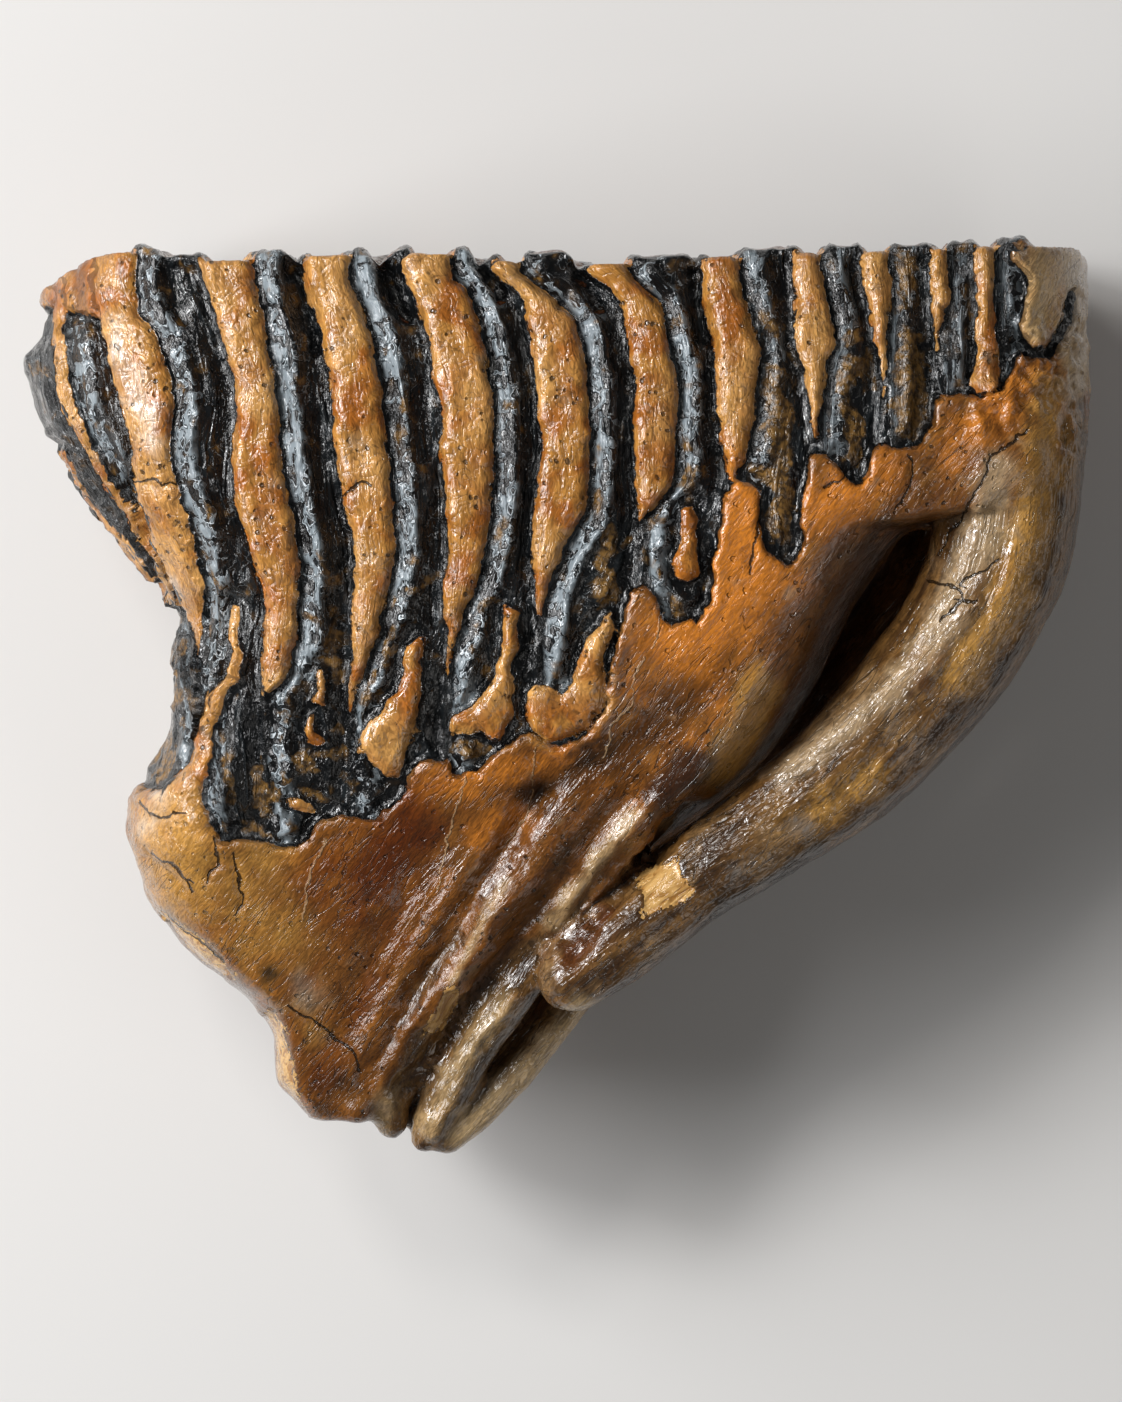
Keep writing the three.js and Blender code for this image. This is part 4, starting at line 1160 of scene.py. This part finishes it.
def enamel_look(g, t, stained):
    """Colour and height of the dark, crinkled enamel; sheen, glints and edge shade are painted."""
    colour = g.colour(g.step(t.streaks, 0.45, 0.7), ENAMEL_BLACK, ENAMEL_SLATE)
    foil = 0.75 * t.streaks + 0.8 * t.crinkle
    facet = g.step(foil, 0.745, 0.785)
    # Painted sheen, partly enamel tone: lighter facets on the ridge of each plate.
    colour = g.colour(0.75 * (t.ridge * facet), colour, ENAMEL_RIDGE_SHEEN)
    # Painted highlights: pale crests on the ridge, and thin pale glint lines round the facets, most
    # on the ridge.
    crest = t.ridge * g.step(foil + 0.35 * t.strokes, 0.99, 1.04)
    colour = g.colour(0.85 * crest, colour, ENAMEL_PAINTED_CREST_GLINT)
    glint_line_share = 0.7 * t.ridge + 0.25 * g.step(t.mottle, 0.0, 0.3)
    glint_line = g.step(abs(foil - 0.79), 0.018, 0.005) * glint_line_share
    colour = g.colour(glint_line, colour, ENAMEL_PAINTED_GLINT_LINE)
    colour = g.colour(0.35 * g.step(t.mottle, 0.1, 0.5), colour, ENAMEL_BROWN)
    ochre = g.colour(g.step(t.fine, 0.35, 0.65), ENAMEL_BROWN, ENAMEL_OCHRE)
    colour = g.colour(stained, colour, ochre)
    # Painted shade: the enamel is darkened along its edge next to the cement, in the groove there.
    colour = g.colour(0.8 * g.step(t.edge, 1.0, 0.3), colour, ENAMEL_BLACK)
    height = 1.1 * t.streaks + 1.2 * t.seams + 0.3 * (facet + 0.5 * crest)
    return colour, height + 0.35 * abs(t.strokes - 0.5)


def dentine_look(g, t):
    """Colour and height of the worn core of a plate, on the chewing surface."""
    colour = g.colour(g.step(t.mottle, -0.3, 0.3), DENTINE, ENAMEL_BROWN)
    return g.colour(g.step(t.patches, 0.0, 0.4), colour, APRON_BROWN), t.leather


def root_look(g, t):
    """Colour and height of the separate roots, streaked along them."""
    colour = g.colour(g.step(t.strands, -0.4, 0.3), ROOT_DARK, ROOT_BROWN)
    pale = g.step(0.6 * t.patches + 0.5 * t.clouds, 0.0, 0.45)
    colour = g.colour(0.7 * pale, colour, ROOT_PALE)
    colour = g.colour(0.4 * g.step(t.fibres, 0.6, 0.38), colour, ROOT_DARK)
    crease = g.step(t.leather, 0.03, 0.005) * g.step(t.mottle, 0.0, 0.2)
    colour = g.colour(0.6 * crease, colour, CREVICE)
    seams = g.step(t.seams, 0.02, 0.006) * g.step(t.patches, -0.1, 0.2)
    colour = g.colour(0.6 * seams, colour, CREVICE)
    pebbles = t.cells * g.step(t.root_ochre, 0.2, 0.6)
    return colour, 0.4 * t.fibres + 0.3 * t.leather - 0.2 * seams - 0.35 * pebbles


def tooth_material():
    g = Graph("fossil_tooth")
    t = make_textures(g)
    enamel = g.step(t.edge, -0.1, 0.15)
    stained = g.step(t.mottle + 0.75 * t.stain, 0.3, 0.7) * g.step(t.edge, 0.9, 2.0)
    core = g.step(g.math("MINIMUM", t.edge, t.depth), ENAMEL_WALL, ENAMEL_WALL + 0.4)
    crack = line_mask(g, "crack", t.wander, CRACK_LINE)
    vein = line_mask(g, "vein", t.wander, VEIN_LINE)
    chip = g.step(t.chip + 3.0 * t.wander, -0.1, 0.15)

    colour, height = g.layered(t.root, cement_look(g, t), root_look(g, t))
    # Tints, among them painted glare, sheen, highlights and shade.
    for name, tint, strength, _ in TINTS:
        share = strength * g.step(g.attribute(name) + 0.3 * t.mottle, 0.1, 1.0)
        colour = g.colour(share, colour, tint)
    colour = g.scaled(colour, g.step(t.strokes, 0.36, 0.62, *FINE_SHADE))
    plate = g.layered(core, enamel_look(g, t, stained), dentine_look(g, t))
    colour, height = g.layered(enamel, (colour, height), plate)
    crumbs = g.colour(g.step(t.fibres, 0.35, 0.6), APRON_OCHRE, CHIP_PALE)
    colour = g.colour(chip, colour, crumbs)
    colour = g.colour(0.9 * crack, colour, CREVICE)
    colour = g.colour(0.6 * vein, colour, VEIN_PALE)
    height = height - 0.5 * chip - 0.6 * crack + 0.2 * vein
    dull = g.number(t.root, ROUGHNESS["cement"], ROUGHNESS["root"])
    glossy = g.number(stained, ROUGHNESS["enamel"], ROUGHNESS["stain"])
    roughness = g.number(chip, g.number(enamel, dull, glossy), ROUGHNESS["chip"])
    bump = g.add("ShaderNodeBump", {"Height": height, "Distance": MM, "Strength": 1.0})
    return g.surface({
        "Base Color": colour, "Roughness": roughness, "Normal": bump,
        "Specular IOR Level": BASE_SPECULAR, "Coat Weight": COAT_WEIGHT,
        "Coat Roughness": COAT_ROUGHNESS, "Coat Normal": bump,
    })


def floor_material():
    g = Graph("pale_floor")
    cloud = g.noise(g.add("ShaderNodeTexCoord", {}, "Object"), FLOOR_CLOUD, 2)
    return g.surface({"Base Color": g.colour(cloud, *FLOOR_COLOURS), "Roughness": FLOOR_ROUGHNESS,
                      "Specular IOR Level": FLOOR_SPECULAR})


# === Floor, lights and camera ===
FLOOR_HALF = 8.0  # metres
# Soft boxes in metres: (name, place, size, power in watts, colour).
LIGHTS = [
    ("key", (-0.5, 0.7, 1.2), (0.3, 0.3), 3.5, (1.0, 0.975, 0.94)),
    ("strip", (-1.05, 0.22, 0.8), (1.1, 0.6), 20, (0.99, 0.99, 1.0)),
    ("spark", (-0.95, 0.33, 0.85), (0.26, 0.26), 6.5, (1.0, 1.0, 1.0)),
    ("fill", (0.85, -0.7, 0.85), (0.7, 0.7), 2.2, (1.0, 0.97, 0.93)),
]
WORLD_LIGHT = 0.1
WORLD_COLOUR = (0.95, 0.97, 1.0, 1)
FARTHEST_SEEN = 100  # metres


def make_floor():
    h = FLOOR_HALF
    corners = np.array([(-h, -h, 0), (h, -h, 0), (h, h, 0), (-h, h, 0)], float)
    mesh = mesh_from("floor", corners, np.array([(0, 1, 2, 3)]))
    mesh.materials.append(floor_material())
    return add_object("floor", mesh)


def make_lights():
    target = Vector((0, 0, MIDDLE * MM))
    for name, place, size, power, colour in LIGHTS:
        light = bpy.data.lights.new(name, "AREA")
        light.shape = "RECTANGLE"
        light.size, light.size_y = size
        light.energy = power
        light.color = colour
        lamp = add_object(name, light)
        lamp.location = place
        lamp.rotation_euler = (target - Vector(place)).to_track_quat("-Z", "Y").to_euler()
    world = bpy.data.worlds.new("studio")
    world.use_nodes = True
    background = world.node_tree.nodes["Background"]
    background.inputs["Color"].default_value = WORLD_COLOUR
    background.inputs["Strength"].default_value = WORLD_LIGHT
    bpy.context.scene.world = world


def make_camera():
    camera = bpy.data.cameras.new("camera")
    camera.sensor_width = SENSOR
    picture_height = IMAGE_PIXELS[1] / PIXELS_PER_MM
    camera.lens = SENSOR * CAMERA_HEIGHT / picture_height
    camera.clip_end = FARTHEST_SEEN
    viewer = add_object("camera", camera)
    viewer.location = to_row(np.array([*LOOKS_AT, MIDDLE + CAMERA_HEIGHT])).tolist()
    bpy.context.scene.camera = viewer


# === The scene ===
tooth = make_tooth()
tooth.data.materials.append(tooth_material())
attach(tooth, "root")
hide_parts("molar")
floor = make_floor()
make_lights()
make_camera()
bpy.context.scene.view_settings.view_transform = "Standard"
